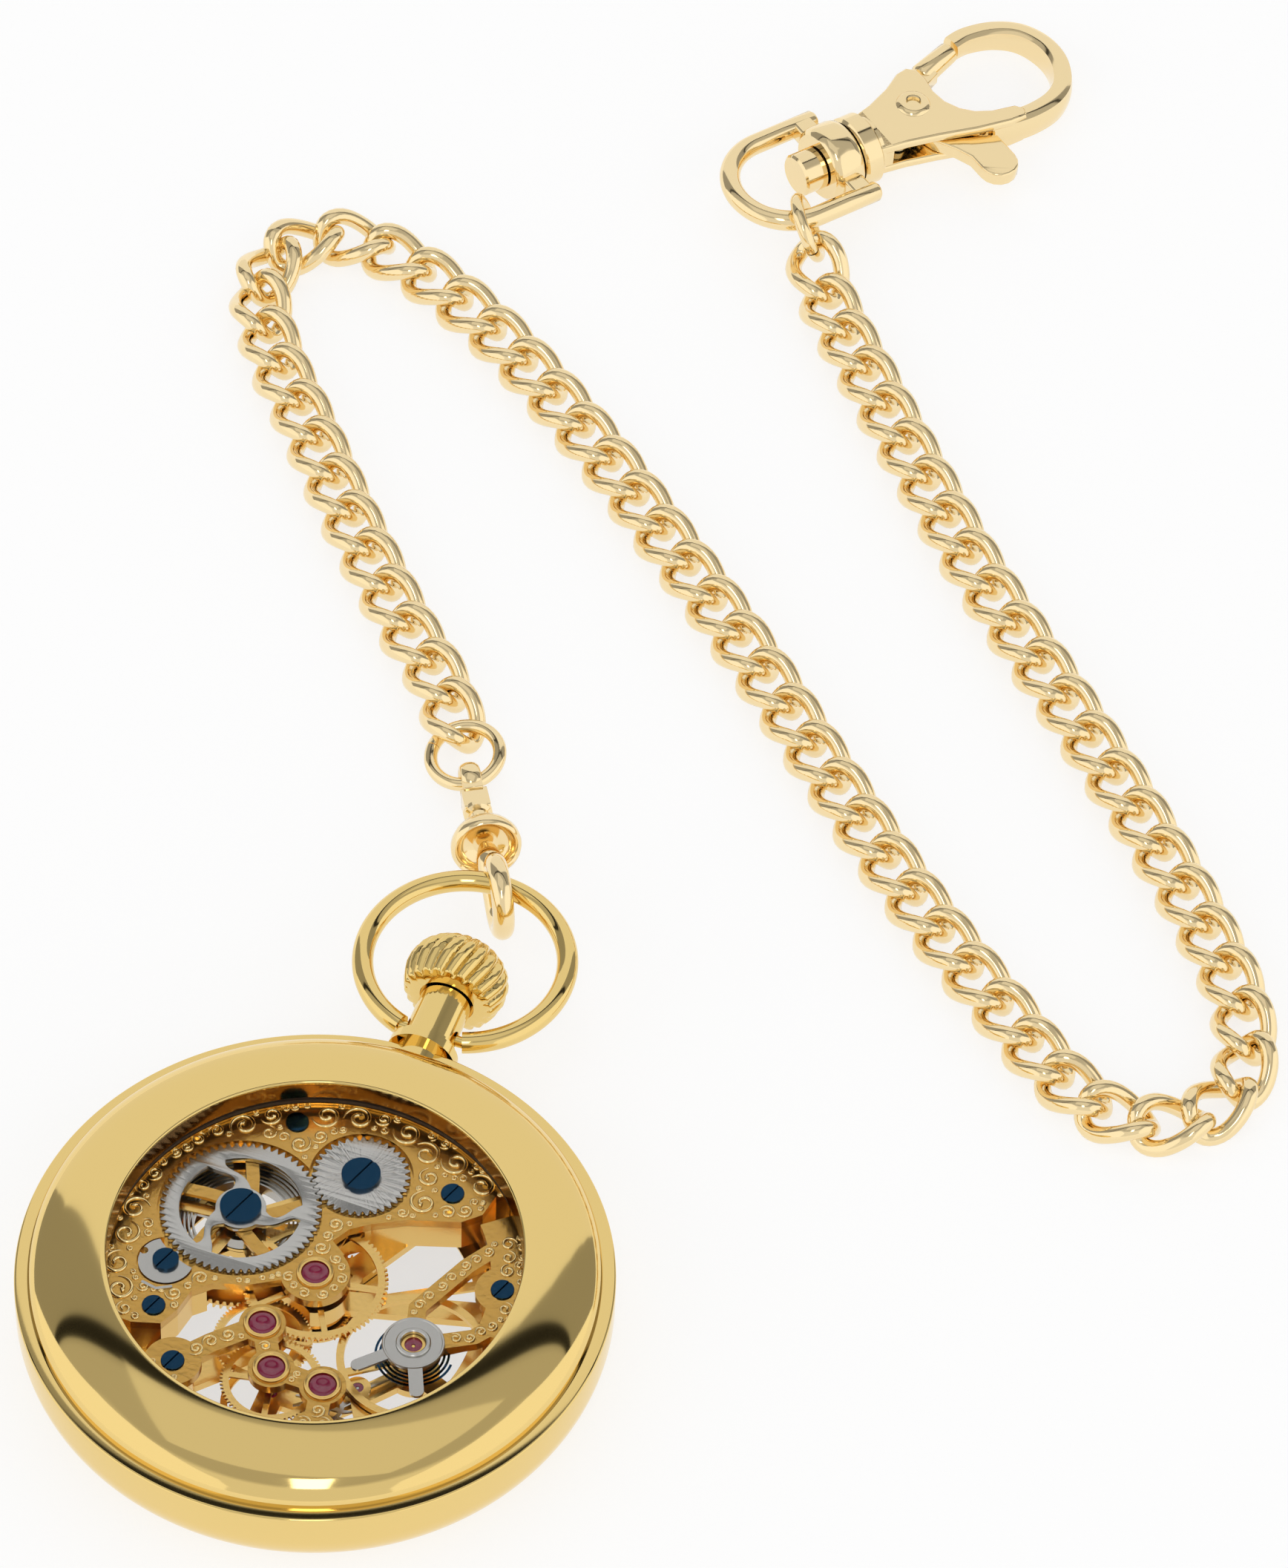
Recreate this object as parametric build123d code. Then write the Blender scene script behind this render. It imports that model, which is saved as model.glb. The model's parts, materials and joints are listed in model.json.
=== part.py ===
from build123d import *
import math
import os

# A skeleton pocket watch lying dial side down, with its chain and swivel clasp laid out on the same
# surface. Millimetres. Origin: the case axis on the surface it lies on. +Z points up, through the
# back of the watch. +Y points from the case axis to the pendant, crown and bow.

# ---------------------------------------------------------------- driving dimensions
CASE_R = 25.0            # case band, outside
CASE_H = 11.4            # front rim to back rim
WINDOW_R = 17.33         # clear radius of both windows
LEDGE_Z = 8.05           # ledge of the band that the back bezel closes on
BEZEL_R = 23.9           # back bezel, outside
SHELL_ROUND = 5.0        # radius of the case's lower edge
FRONT_SEAM_Z = 2.0       # front bezel closes on the band here
BAND_IN_R = 19.5         # bore of the band
BAND_LIP_R = 22.4        # snap lips of the band
CRYSTAL_R = 18.0
SNAP = 0.03              # clearance of snapped and seated case parts
RUN = 0.03               # radial running clearance

STEM_Z = 6.3             # height of the pendant, crown and stem axis
TUBE_R = 2.25            # pendant tube
TUBE_END = 32.1
STEM_R = 0.6
CROWN_R = 4.55
CROWN_START = 31.7
CROWN_END = 37.3
CROWN_RIBS = 22
BOW_Y = 36.3             # centre of the bow's ring
BOW_RING_R = 8.75
BOW_WIRE_R = 0.925
BOW_END_X = 2.75         # the wire's ends stand this far from the pendant axis
BOW_PIN_R = 0.5

PLATE_Z0, PLATE_Z1 = 3.6, 4.4      # main plate
BRIDGE_Z0, BRIDGE_Z1 = 7.15, 8.0   # bridges
MOVEMENT_R = 18.3
BARREL = (-8.2, 4.15)
CROWN_WHEEL = (0.08, 10.7)
CLICK = (-12.1, -3.1)
THIRD = (-2.3, -6.3)
FOURTH = (0.0, -10.3)
ESCAPE = (4.6, -10.5)
PALLET = (6.8, -8.2)
BALANCE = (10.2, -4.1)
MINUTE_WHEEL = (1.8, 3.1177)
JEWEL_R = 1.17                     # rubies of the train, in their gold settings
SETTING_R = 1.55
SCREWS = ((-6.9, 14.1), (7.9, 11.6), (-11.4, -7.7), (-7.9, -12.4), (15.2, 3.7))

LINK_LENGTH = 7.4        # curb link, outside
LINK_WIDTH = 5.14
LINK_WIRE = 1.14
LINK_TWIST = -42.0       # degrees each end is turned against the middle
LINK_Z = 1.93            # height of the links' centres
LAST_LINK_RISE = 11.3   # degrees the last link tips up to the far jump ring

# The chain's line on the surface, from the near jump ring to the far one.
CHAIN_ROUTE = (
    (-10.222, 62.824), (-13.8, 67.7), (-19.1, 73.0), (-27.3, 82.1), (-35.4, 91.8), (-41.9, 99.7),
    (-45.0, 105.6), (-44.6, 110.9), (-40.0, 114.1), (-34.2, 113.4), (-24.3, 108.6),
    (-11.4, 99.3), (0.2, 89.5), (11.6, 79.4), (22.6, 68.8), (33.5, 58.8), (44.4, 50.0),
    (51.4, 44.9), (57.3, 43.0), (62.8, 45.0), (65.2, 50.4), (63.2, 57.2), (56.8, 65.6),
    (49.0, 74.1), (37.7, 85.4), (26.2, 96.6), (17.9, 105.7), (9.9, 114.8), (3.6, 122.2),
    (0.580, 126.946),
)
CHAIN_SECTIONS = (8, 13, 12, 14, 10, 8)   # links in each section between bending joints

SWIVEL_C = Vector(-3.6, 51.2, 3.6)   # centre of the swivel cup
SWIVEL_BEARING = 118.8               # degrees from +X, hook towards chain
SWIVEL_DIP = 14.0                    # degrees down towards the chain
HOOK_AT = -7.75                      # hook loop's centre, along the swivel axis
EYE_AT = 8.4                         # eye's centre, along the swivel axis
RING_R = 3.05                        # near jump ring, to the middle of its wire
RING_WIRE = 1.2
RING_TURN = 0.1                      # degrees, near ring's lie against the swivel's bearing
RING_RISE = 3.9
RING_ROLL = 9.1

CLASP_C = Vector(-1.0, 136.9, 3.75)  # middle of the bail's block
CLASP_BEARING = 52.9                 # degrees from +X, bail towards hook
CLASP_DIP = 4.0
BODY_HALF = 1.7                      # half the clasp body's thickness

os.makedirs("parts", exist_ok=True)
NODES = {}


# ---------------------------------------------------------------- helpers
def save(name, *solids):
    """Keep the solids as one node and write its STEP file."""
    flat = [s for item in solids for s in item.solids()]
    NODES[name] = flat
    export_step(Compound(children=flat) if len(flat) > 1 else flat[0], f"parts/{name}.step")


def disc(radius, z0, z1, at=(0, 0)):
    return Pos(at[0], at[1], (z0 + z1) / 2) * Cylinder(radius, z1 - z0)


def ring(outer, inner, z0, z1, at=(0, 0)):
    return disc(outer, z0, z1, at) - disc(inner, z0 - 0.1, z1 + 0.1, at)


def slab(points, z0, z1):
    """A prism over a closed outline."""
    outline = Polyline(*points, close=True)
    return Pos(0, 0, z0) * extrude(make_face(outline), z1 - z0)


def bar(a, b, width, z0, z1):
    """A flat bar with round ends from a to b."""
    length = math.dist(a, b)
    angle = math.degrees(math.atan2(b[1] - a[1], b[0] - a[0]))
    middle = Pos((a[0] + b[0]) / 2, (a[1] + b[1]) / 2, (z0 + z1) / 2)
    body = middle * Rot(0, 0, angle) * Box(length, width, z1 - z0)
    return body + disc(width / 2, z0, z1, a) + disc(width / 2, z0, z1, b)


def path_bars(points, width, z0, z1):
    """A chain of round-ended bars."""
    solid = bar(points[0], points[1], width, z0, z1)
    for a, b in zip(points[1:], points[2:]):
        solid += bar(a, b, width, z0, z1)
    return solid


def lathe(profile, at=(0, 0)):
    """Turn an (r, z) outline about the Z axis through at."""
    outline = Polyline(*[(r, 0, z) for r, z in profile], close=True)
    return Pos(at[0], at[1], 0) * revolve(make_face(outline), Axis.Z)


def polar(radius, degrees, at=(0, 0)):
    a = math.radians(degrees)
    return (at[0] + radius * math.cos(a), at[1] + radius * math.sin(a))


def gear(teeth, module, z0, z1, at=(0, 0), phase=0.0, depth=1.0):
    """A spur wheel; phase turns it by that share of a tooth."""
    pitch_r = teeth * module / 2
    tip_r = pitch_r + 0.85 * module * depth
    root_r = pitch_r - 1.15 * module * depth
    step = 360 / teeth
    corners = []
    for i in range(teeth):
        middle = (i + phase) * step
        for radius, share in ((root_r, -0.31), (tip_r, -0.12), (tip_r, 0.12), (root_r, 0.31)):
            corners.append(polar(radius, middle + share * step))
    return Pos(at[0], at[1], 0) * slab(corners, z0, z1)


def crossing(rim_r, hub_r, arms, width, z0, z1, at=(0, 0), turn=0.0):
    """The openings between a wheel's arms."""
    gap = ring(rim_r, hub_r, z0 - 0.1, z1 + 0.1, at)
    for i in range(arms):
        end = polar(rim_r + 1, turn + 360 * i / arms, at)
        gap -= bar(at, end, width, z0 - 0.2, z1 + 0.2)
    return gap


def wheel(teeth, module, z0, z1, at, arms=5, phase=0.0):
    """A crossed-out train wheel without its pinion."""
    rim_r = teeth * module / 2 - 2.6 * module - 0.35
    blank = gear(teeth, module, z0, z1, at, phase)
    return blank - crossing(rim_r, 0.9, arms, 0.5, z0, z1, at, 11)


def mesh_phase(followed, follower, teeth_a, teeth_b, phase_a=0.0):
    """The phase that puts a wheel's gap on its partner's tooth on the line of centres."""
    line = math.degrees(math.atan2(follower[1] - followed[1], follower[0] - followed[0]))
    place = (line * teeth_a / 360 - phase_a) % 1
    back = (line + 180) * teeth_b / 360
    return (back + place + 0.5) % 1


def screw(at, radius, z0, top, shank_r, depth):
    """A slotted screw with its head from z0 to top."""
    head = disc(radius, z0, top, at) + disc(shank_r, z0 - depth, z0, at)
    slot = Pos(at[0], at[1], top) * Rot(0, 0, 70) * Box(2.2 * radius, 0.3, 0.3)
    return head - slot


def tube_between(a, b, radius):
    """A rod from a to b."""
    start = Plane(origin=a, z_dir=b - a)
    return extrude(start * Circle(radius), (b - a).length)


# ---------------------------------------------------------------- case
def case():
    wall_z = SHELL_ROUND
    edge_r = CASE_R - SHELL_ROUND
    seam_r = edge_r + math.sqrt(SHELL_ROUND**2 - (SHELL_ROUND - FRONT_SEAM_Z) ** 2)
    arc_mid = edge_r + SHELL_ROUND * math.cos(math.radians(18))
    arc_mid_z = SHELL_ROUND - SHELL_ROUND * math.sin(math.radians(18))
    stem_axis = Plane(origin=(0, 0, STEM_Z), z_dir=(0, 1, 0))

    with BuildSketch(Plane.XZ) as band:
        with BuildLine():
            Line((BEZEL_R, LEDGE_Z), (CASE_R - 0.15, LEDGE_Z - 0.05))
            Line((CASE_R - 0.15, LEDGE_Z - 0.05), (CASE_R, LEDGE_Z - 0.2))
            Line((CASE_R, LEDGE_Z - 0.2), (CASE_R, wall_z))
            ThreePointArc((CASE_R, wall_z), (arc_mid, arc_mid_z), (seam_r, FRONT_SEAM_Z))
            Polyline(
                (seam_r, FRONT_SEAM_Z), (BAND_LIP_R, FRONT_SEAM_Z), (BAND_LIP_R, 1.3),
                (BAND_IN_R, 1.3), (BAND_IN_R, 9.0), (BAND_LIP_R, 9.0), (BAND_LIP_R, LEDGE_Z),
                (BEZEL_R, LEDGE_Z),
            )
        make_face()
    case_band = revolve(band.sketch, Axis.Z)
    case_band -= stem_axis * Pos(0, 0, 22) * Cylinder(TUBE_R, 12)
    save("case_band", case_band)

    dome_r, dome_h, dome_start = 4.5, 3.2, 19.4
    with BuildSketch(Plane.XZ) as bezel:
        with BuildLine():
            Line((WINDOW_R, CASE_H - 0.12), (WINDOW_R + 0.15, CASE_H))
            Line((WINDOW_R + 0.15, CASE_H), (dome_start, LEDGE_Z + dome_h))
            Spline(
                *[
                    (dome_start + dome_r * math.sin(math.radians(a)),
                     LEDGE_Z + dome_h * math.cos(math.radians(a)))
                    for a in (0, 22.5, 45, 67.5, 90)
                ],
                tangents=[(1, 0), (0, -1)],
            )
            Polyline(
                (BEZEL_R, LEDGE_Z), (BEZEL_R, LEDGE_Z + SNAP), (BAND_LIP_R + SNAP, LEDGE_Z + SNAP),
                (BAND_LIP_R + SNAP, 9.0 + SNAP), (BAND_IN_R, 9.0 + SNAP), (BAND_IN_R, 8.72),
                (CRYSTAL_R + SNAP, 8.72), (CRYSTAL_R + SNAP, 9.5), (17.2, 9.5),
                (WINDOW_R, CASE_H - 0.12),
            )
        make_face()
    save("back_bezel", revolve(bezel.sketch, Axis.Z))

    with BuildSketch(Plane.XZ) as front:
        with BuildLine():
            ThreePointArc(
                (seam_r - SNAP, FRONT_SEAM_Z - SNAP), (edge_r + 2.3, 0.56), (edge_r, 0)
            )
            Polyline(
                (edge_r, 0), (WINDOW_R + 0.15, 0), (WINDOW_R, 0.15), (17.2, 0.9),
                (CRYSTAL_R + SNAP, 0.9), (CRYSTAL_R + SNAP, 1.75), (18.6, 1.75), (18.6, 1.25),
                (BAND_LIP_R + SNAP, 1.25), (BAND_LIP_R + SNAP, FRONT_SEAM_Z - SNAP),
                (seam_r - SNAP, FRONT_SEAM_Z - SNAP),
            )
        make_face()
    save("front_bezel", revolve(front.sketch, Axis.Z))
    save("crystals", disc(CRYSTAL_R, 8.75, 9.5 - SNAP), disc(CRYSTAL_R, 0.9 + SNAP, 1.7))
    save("crystal_gaskets", ring(CRYSTAL_R, 17.5, 8.35, 8.72), ring(CRYSTAL_R, 17.5, 1.72, 2.1))

    holder = ring(BAND_IN_R - 0.05, MOVEMENT_R + 0.04, 2.6, 8.3)
    holder += ring(MOVEMENT_R + 0.1, 17.45, 8.05, 8.3)
    holder -= stem_axis * Pos(0, 0, 19) * Cylinder(1.0, 4)
    save("movement_ring", holder)

    tube = Pos(0, 0, (21.3 + TUBE_END) / 2) * Cylinder(TUBE_R, TUBE_END - 21.3)
    foot = Pos(0, 0, 25.75) * Cylinder(3.05, 0.9) + Pos(0, 0, 26.45) * Cylinder(2.65, 0.5)
    tube = tube + foot - Pos(0, 0, 26.7) * Cylinder(1.1, 12)
    tube = stem_axis * tube
    pivot_y = bow_pivot_y()
    tube -= Pos(0, pivot_y, STEM_Z) * Rot(0, 90, 0) * Cylinder(BOW_PIN_R + RUN, 6)
    solid_case = disc(CASE_R + 0.02, 0, LEDGE_Z + 0.02) - disc(BAND_IN_R, -1, 12)
    foot_only = tube & solid_case
    bore_part = stem_axis * Pos(0, 0, 22) * Cylinder(TUBE_R, 12)
    tube -= foot_only - bore_part
    save("pendant_tube", tube - disc(BEZEL_R + SNAP, LEDGE_Z, CASE_H))


def bow_pivot_y():
    return BOW_Y - math.sqrt(BOW_RING_R**2 - BOW_END_X**2)


def bow():
    pivot_y = bow_pivot_y()
    end = math.degrees(math.asin(BOW_END_X / BOW_RING_R))
    path = CenterArc((0, 0), BOW_RING_R, -90 + end, 360 - 2 * end)
    start = Plane(origin=path @ 0, z_dir=path % 0)
    loop = Pos(0, BOW_Y, STEM_Z) * sweep(start * Circle(BOW_WIRE_R), path)
    for side in (-1, 1):
        inner = 1.5
        length = BOW_END_X + 0.2 - inner
        middle = side * (inner + length / 2)
        loop += Pos(middle, pivot_y, STEM_Z) * Rot(0, 90, 0) * Cylinder(BOW_PIN_R, length)
    save("bow", loop)


def crown():
    axis = Plane(origin=(0, 0, STEM_Z), z_dir=(0, 1, 0))
    with BuildSketch(Plane.XZ) as onion:
        with BuildLine():
            Line((0, CROWN_END), (1.2, CROWN_END - 0.1))
            Spline(
                (1.2, CROWN_END - 0.1), (3.0, CROWN_END - 0.75), (4.4, CROWN_END - 2.4),
                (CROWN_R, CROWN_END - 3.4), (4.0, CROWN_START + 0.6),
            )
            Polyline(
                (4.0, CROWN_START + 0.6), (3.5, CROWN_START), (2.45, CROWN_START),
                (2.45, TUBE_END + 0.75), (STEM_R, TUBE_END + 0.75), (STEM_R, CROWN_END - 1.2),
                (0, CROWN_END - 1.2), (0, CROWN_END),
            )
        make_face()
    body = revolve(onion.sketch, Axis.Z)
    for i in range(CROWN_RIBS):
        flute = Pos(CROWN_R + 0.12, 0, (CROWN_START + CROWN_END) / 2) * Cylinder(0.32, 8)
        body -= Rot(0, 0, 360 * i / CROWN_RIBS) * flute
    save("crown", axis * body)
    stem = Pos(0, 0, (15.6 + CROWN_END - 1.25) / 2) * Cylinder(STEM_R - RUN, CROWN_END - 1.25 - 15.6)
    stem += Pos(0, 0, 13.6) * Box(0.7, 0.7, 4.2)
    save("winding_stem", axis * stem)
    seal = Pos(0, 0, TUBE_END + 0.3) * (Cylinder(2.1, 0.5) - Cylinder(STEM_R + 0.05, 1))
    save("crown_gasket", axis * seal)


# ---------------------------------------------------------------- movement, fixed parts
def barrel_bridge_outline():
    """The edge of the barrel bridge across the movement, left to right."""
    return (
        (-16.0, -9.6), (-12.6, -9.9), (-10.2, -9.2), (-9.4, -7.4), (-9.0, -5.2), (-7.6, -3.9),
        (-4.7, -3.0), (-2.4, -1.6), (0.0, 0.0), (1.6, 2.6), (0.2, 3.6), (1.1, 5.2), (2.6, 6.3),
        (5.2, 7.7), (9.6, 9.1), (11.0, 10.4), (11.4, 12.6),
    )


def bridge_blank(z0, z1, grow=0.0):
    """The barrel bridge's plan: the movement's disc above the outline, with the centre boss."""
    edge = list(barrel_bridge_outline())
    far = [(13.4, 14.8), (20, 24), (-24, 24), (-24, -9.6)]
    plan = disc(MOVEMENT_R - grow, z0, z1) & slab(edge + far, z0, z1)
    return plan + disc(2.9 - grow, z0, z1)


def main_plate():
    z0, z1 = PLATE_Z0, PLATE_Z1
    plate = ring(MOVEMENT_R, 14.9, z0, z1)
    for a, b, width in (
        ((0, 0), polar(16, 150), 2.4), ((0, 0), polar(16, 62), 2.2), ((0, 0), polar(16, 14), 2.0),
        ((0, 0), THIRD, 2.2), (THIRD, FOURTH, 2.0), (THIRD, polar(16, 236), 2.0),
        (FOURTH, polar(16, 270), 2.2), (FOURTH, ESCAPE, 1.8), (ESCAPE, PALLET, 1.7),
        (PALLET, BALANCE, 1.7), (BALANCE, polar(16, -22), 2.0), (ESCAPE, polar(16, 300), 2.0),
        (BARREL, polar(16, 195), 2.2),
    ):
        plate += bar(a, b, width, z0, z1)
    for at, radius in ((BARREL, 2.0), ((0, 0), 2.6), (BALANCE, 2.2), (MINUTE_WHEEL, 1.2)):
        plate += disc(radius, z0, z1, at)
    wall = bridge_blank(z1, BRIDGE_Z0 - 0.02, 0.02)
    wall -= disc(8.45, z1, BRIDGE_Z0, BARREL)
    wall -= disc(6.35, 6.3, BRIDGE_Z0)
    wall -= disc(1.75, z1, BRIDGE_Z0)
    wall -= disc(4.5, z1, 6.4, THIRD)
    plate += wall
    for at in SCREWS[3:]:
        plate += disc(1.7, z1, BRIDGE_Z0 - 0.02, at)
    plate += path_bars((polar(16.7, 30), SCREWS[4], polar(16.9, 0)), 2.4, z1, BRIDGE_Z0 - 0.02)
    plate &= disc(MOVEMENT_R, 0, 20)
    plate -= Pos(0, 14.6, STEM_Z) * Box(3.2, 6.4, 3.2)
    plate -= Plane(origin=(0, 16, STEM_Z), z_dir=(0, 1, 0)) * Cylinder(STEM_R, 8)
    for at, radius in (
        ((0, 0), 0.75), (THIRD, 0.45), (FOURTH, 0.45), (ESCAPE, 0.45), (PALLET, 0.45),
        (BALANCE, 0.45), (BARREL, 0.75), (MINUTE_WHEEL, 0.3),
    ):
        plate -= disc(radius, 0, z1 + 0.05, at)
    for at in SCREWS:
        plate -= disc(0.5, z1, BRIDGE_Z1, at)
    save("main_plate", plate)


def bridges():
    z0, z1 = BRIDGE_Z0, BRIDGE_Z1
    recess = 7.5
    bridge = bridge_blank(z0, z1)
    bridge -= disc(7.0, recess, z1 + 1, BARREL) + disc(4.4, recess, z1 + 1, CROWN_WHEEL)
    bridge -= disc(2.45, recess, z1 + 1, CLICK)
    window = ring(5.35, 1.9, z0 - 1, z1 + 1, BARREL)
    for i in range(5):
        start = polar(1.5, 72 * i, BARREL)
        middle = polar(3.6, 72 * i + 22, BARREL)
        end = polar(6.0, 72 * i + 30, BARREL)
        window -= path_bars((start, middle, end), 1.1, z0 - 2, z1 + 2)
    bridge -= window
    bridge -= disc(0.85 + RUN, z0 - 1, z1 + 1, BARREL) + disc(SETTING_R, z0 - 1, z1 + 1)
    bridge -= disc(0.52, z0 - 1, z1, CROWN_WHEEL) + disc(0.42, z0 - 1, z1, CLICK)
    bridge -= Pos(0, 13.7, z0) * Box(2.7, 2.2, 0.7)
    for at in SCREWS[:3]:
        bridge -= disc(1.0, 7.6, z1 + 1, at) + disc(0.5, z0 - 1, z1 + 1, at)
    save("barrel_bridge", bridge)

    foot, toe = SCREWS[3], (5.4, -15.0)
    train = path_bars((foot, (-5.6, -9.6), THIRD, FOURTH, ESCAPE, toe), 1.9, z0, z1)
    for at in (THIRD, FOURTH, ESCAPE):
        train += disc(SETTING_R + 0.4, z0, z1, at)
    train += disc(2.4, z0, z1, foot) + disc(2.0, z0, z1, toe)
    train += bar(foot, polar(17, 239), 3.2, z0, z1)
    train &= disc(MOVEMENT_R, 0, 20)
    train += disc(1.5, PLATE_Z1, z0, toe)
    for at in (THIRD, FOURTH, ESCAPE):
        train -= disc(SETTING_R, z0 - 1, z1 + 1, at)
    train -= disc(1.0, 7.6, z1 + 1, foot) + disc(0.5, z0 - 1, z1 + 1, foot)
    save("train_bridge", train)

    low, high = 5.4, 5.75
    post = (9.6, -13.2)
    pallet = bar(PALLET, post, 1.6, low, high) + disc(1.1, low, high, PALLET)
    pallet += disc(1.0, PLATE_Z1, low, post)
    pallet -= disc(0.5, low - 1, high + 1, PALLET)
    save("pallet_bridge", pallet)

    cock = ring(MOVEMENT_R, 14.6, z0, z1) & slab(((0, 0), polar(30, 40), (40, 6), polar(30, -4)), z0, z1)
    cock += path_bars((polar(15.4, 30), (11.6, 5.0), (9.2, -0.4), BALANCE), 1.5, z0, z1)
    cock += path_bars((polar(16.2, 2), (14.6, -1.6), BALANCE), 1.5, z0, z1)
    cock += disc(2.3, z0, z1, BALANCE) + disc(2.3, z0, z1, SCREWS[4])
    cock &= disc(MOVEMENT_R, 0, 20)
    cock -= disc(1.0, z0 - 1, z1 + 1, BALANCE)
    cock -= disc(1.0, 7.6, z1 + 1, SCREWS[4]) + disc(0.5, z0 - 1, z1 + 1, SCREWS[4])
    save("balance_cock", cock)

    flat0, flat1 = BRIDGE_Z1 + SNAP, 8.3
    arm_a, arm_b = (6.6, -7.7), (12.1, -8.5)
    regulator = disc(2.6, flat0, flat1, BALANCE)
    regulator += bar(BALANCE, arm_a, 1.1, flat0, flat1) + bar(BALANCE, arm_b, 1.2, flat0, flat1)
    regulator -= disc(1.05, flat0 - 1, flat1 + 1, BALANCE)
    save("regulator", regulator)


def jewels_and_screws():
    stones, settings = [], []
    low = 7.3
    for at, pivot in ((THIRD, 0.2), (FOURTH, 0.2), (ESCAPE, 0.2), ((0, 0), 0.33)):
        settings.append(ring(SETTING_R - SNAP / 3, JEWEL_R + SNAP / 3, low, BRIDGE_Z1 + 0.15, at))
        stones.append(ring(JEWEL_R, pivot + RUN, low, BRIDGE_Z1 - 0.1, at))
    settings.append(ring(1.0 - SNAP / 3, 0.75, low, BRIDGE_Z1 + 0.1, BALANCE))
    stones.append(ring(0.74, 0.15 + RUN, low, BRIDGE_Z1 - 0.1, BALANCE))
    stones.append(ring(0.49, 0.15, 5.42, 5.7, PALLET))
    for at in (THIRD, FOURTH, ESCAPE, PALLET, BALANCE):
        stones.append(ring(0.44, 0.16, PLATE_Z0 + 0.1, PLATE_Z1 - 0.05, at) if at != FOURTH
                      else ring(0.44, 0.24, PLATE_Z0 + 0.1, PLATE_Z1 - 0.05, at))
    save("jewels", *stones)
    save("jewel_settings", *settings)
    screws = [screw(at, 0.96, 7.62, 8.15, 0.45, 2.2) for at in SCREWS]
    screws.append(screw(CROWN_WHEEL, 1.65, 8.07, 8.4, 0.5, 0.9))
    screws.append(screw(CLICK, 1.1, 8.07, 8.35, 0.4, 0.9))
    save("movement_screws", *screws)


def dial():
    z0, z1 = 2.75, 3.0
    face = ring(18.2, 13.4, z0, z1) + ring(4.3, 3.7, z0, z1, FOURTH) + ring(3.4, 1.15, z0, z1)
    for a in (30, 150, 90):
        face += bar(polar(2.4, a), polar(14, a), 0.9, z0, z1)
    face += bar(polar(2.4, 270), (0, -6.3), 0.9, z0, z1) + bar((0, -14.3), (0, -13.8), 1.2, z0, z1)
    markers = [
        Pos(*polar(15.8, 30 * i), z0 - 0.1) * Rot(0, 0, 30 * i) * Box(2.6, 0.7, 0.18)
        for i in range(12)
    ]
    save("dial", face, *markers)


# ---------------------------------------------------------------- movement, moving parts
def winding():
    ratchet_teeth, crown_teeth, module = 60, 36, 0.22
    z0, z1 = 7.55, 8.05
    ratchet = gear(ratchet_teeth, module, z0, z1, BARREL)
    window = ring(4.7, 2.1, z0 - 1, z1 + 1, BARREL)
    for i in range(3):
        start = polar(1.6, 120 * i + 78, BARREL)
        middle = polar(3.4, 120 * i + 96, BARREL)
        end = polar(5.4, 120 * i + 98, BARREL)
        window -= path_bars((start, middle, end), 1.5, z0 - 2, z1 + 2)
    ratchet = ratchet - window - disc(0.5, z0 - 1, z1 + 1, BARREL)
    save("ratchet_wheel", ratchet)
    save("ratchet_screw", screw(BARREL, 1.75, 8.07, 8.42, 0.47, 1.4))
    arbor = disc(0.85, 6.95, z0 - 0.01, BARREL) + disc(1.5, 5.08, 6.35, BARREL)
    arbor += disc(0.7, PLATE_Z0, 6.95, BARREL)
    arbor -= disc(0.48, 6.6, 8, BARREL)
    save("barrel_arbor", arbor)
    phase = mesh_phase(BARREL, CROWN_WHEEL, ratchet_teeth, crown_teeth)
    crown_wheel = gear(crown_teeth, module, z0, z1, CROWN_WHEEL, phase)
    save("crown_wheel", crown_wheel - disc(0.55, z0 - 1, z1 + 1, CROWN_WHEEL))

    pinion = Rot(-90, 0, 0) * (gear(18, 0.115, 12.9, 14.5) - Box(0.76, 0.76, 40))
    save("winding_pinion", Pos(0, 0, STEM_Z) * pinion)

    toward = math.degrees(math.atan2(BARREL[1] - CLICK[1], BARREL[0] - CLICK[0]))
    away = math.dist(CLICK, BARREL) - (ratchet_teeth * module / 2 + 0.85 * module) - 0.06
    tip = polar(away - 0.15, toward, CLICK)
    click = disc(2.3, z0, z1, CLICK)
    click -= disc(ratchet_teeth * module / 2 + 0.8, z0 - 1, z1 + 1, BARREL)
    click -= disc(0.42, z0 - 1, z1 + 1, CLICK)
    click -= disc(0.35, z0 - 1, z1 + 1, polar(2.1, 170, CLICK))
    save("click", click + bar(polar(1.2, toward, CLICK), tip, 0.3, z0, z1))
    spring = path_bars(
        (polar(2.9, 250, CLICK), polar(3.0, 275, CLICK), polar(2.75, 300, CLICK)), 0.25, 8.02, 8.15
    )
    save("click_spring", spring)


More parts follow.
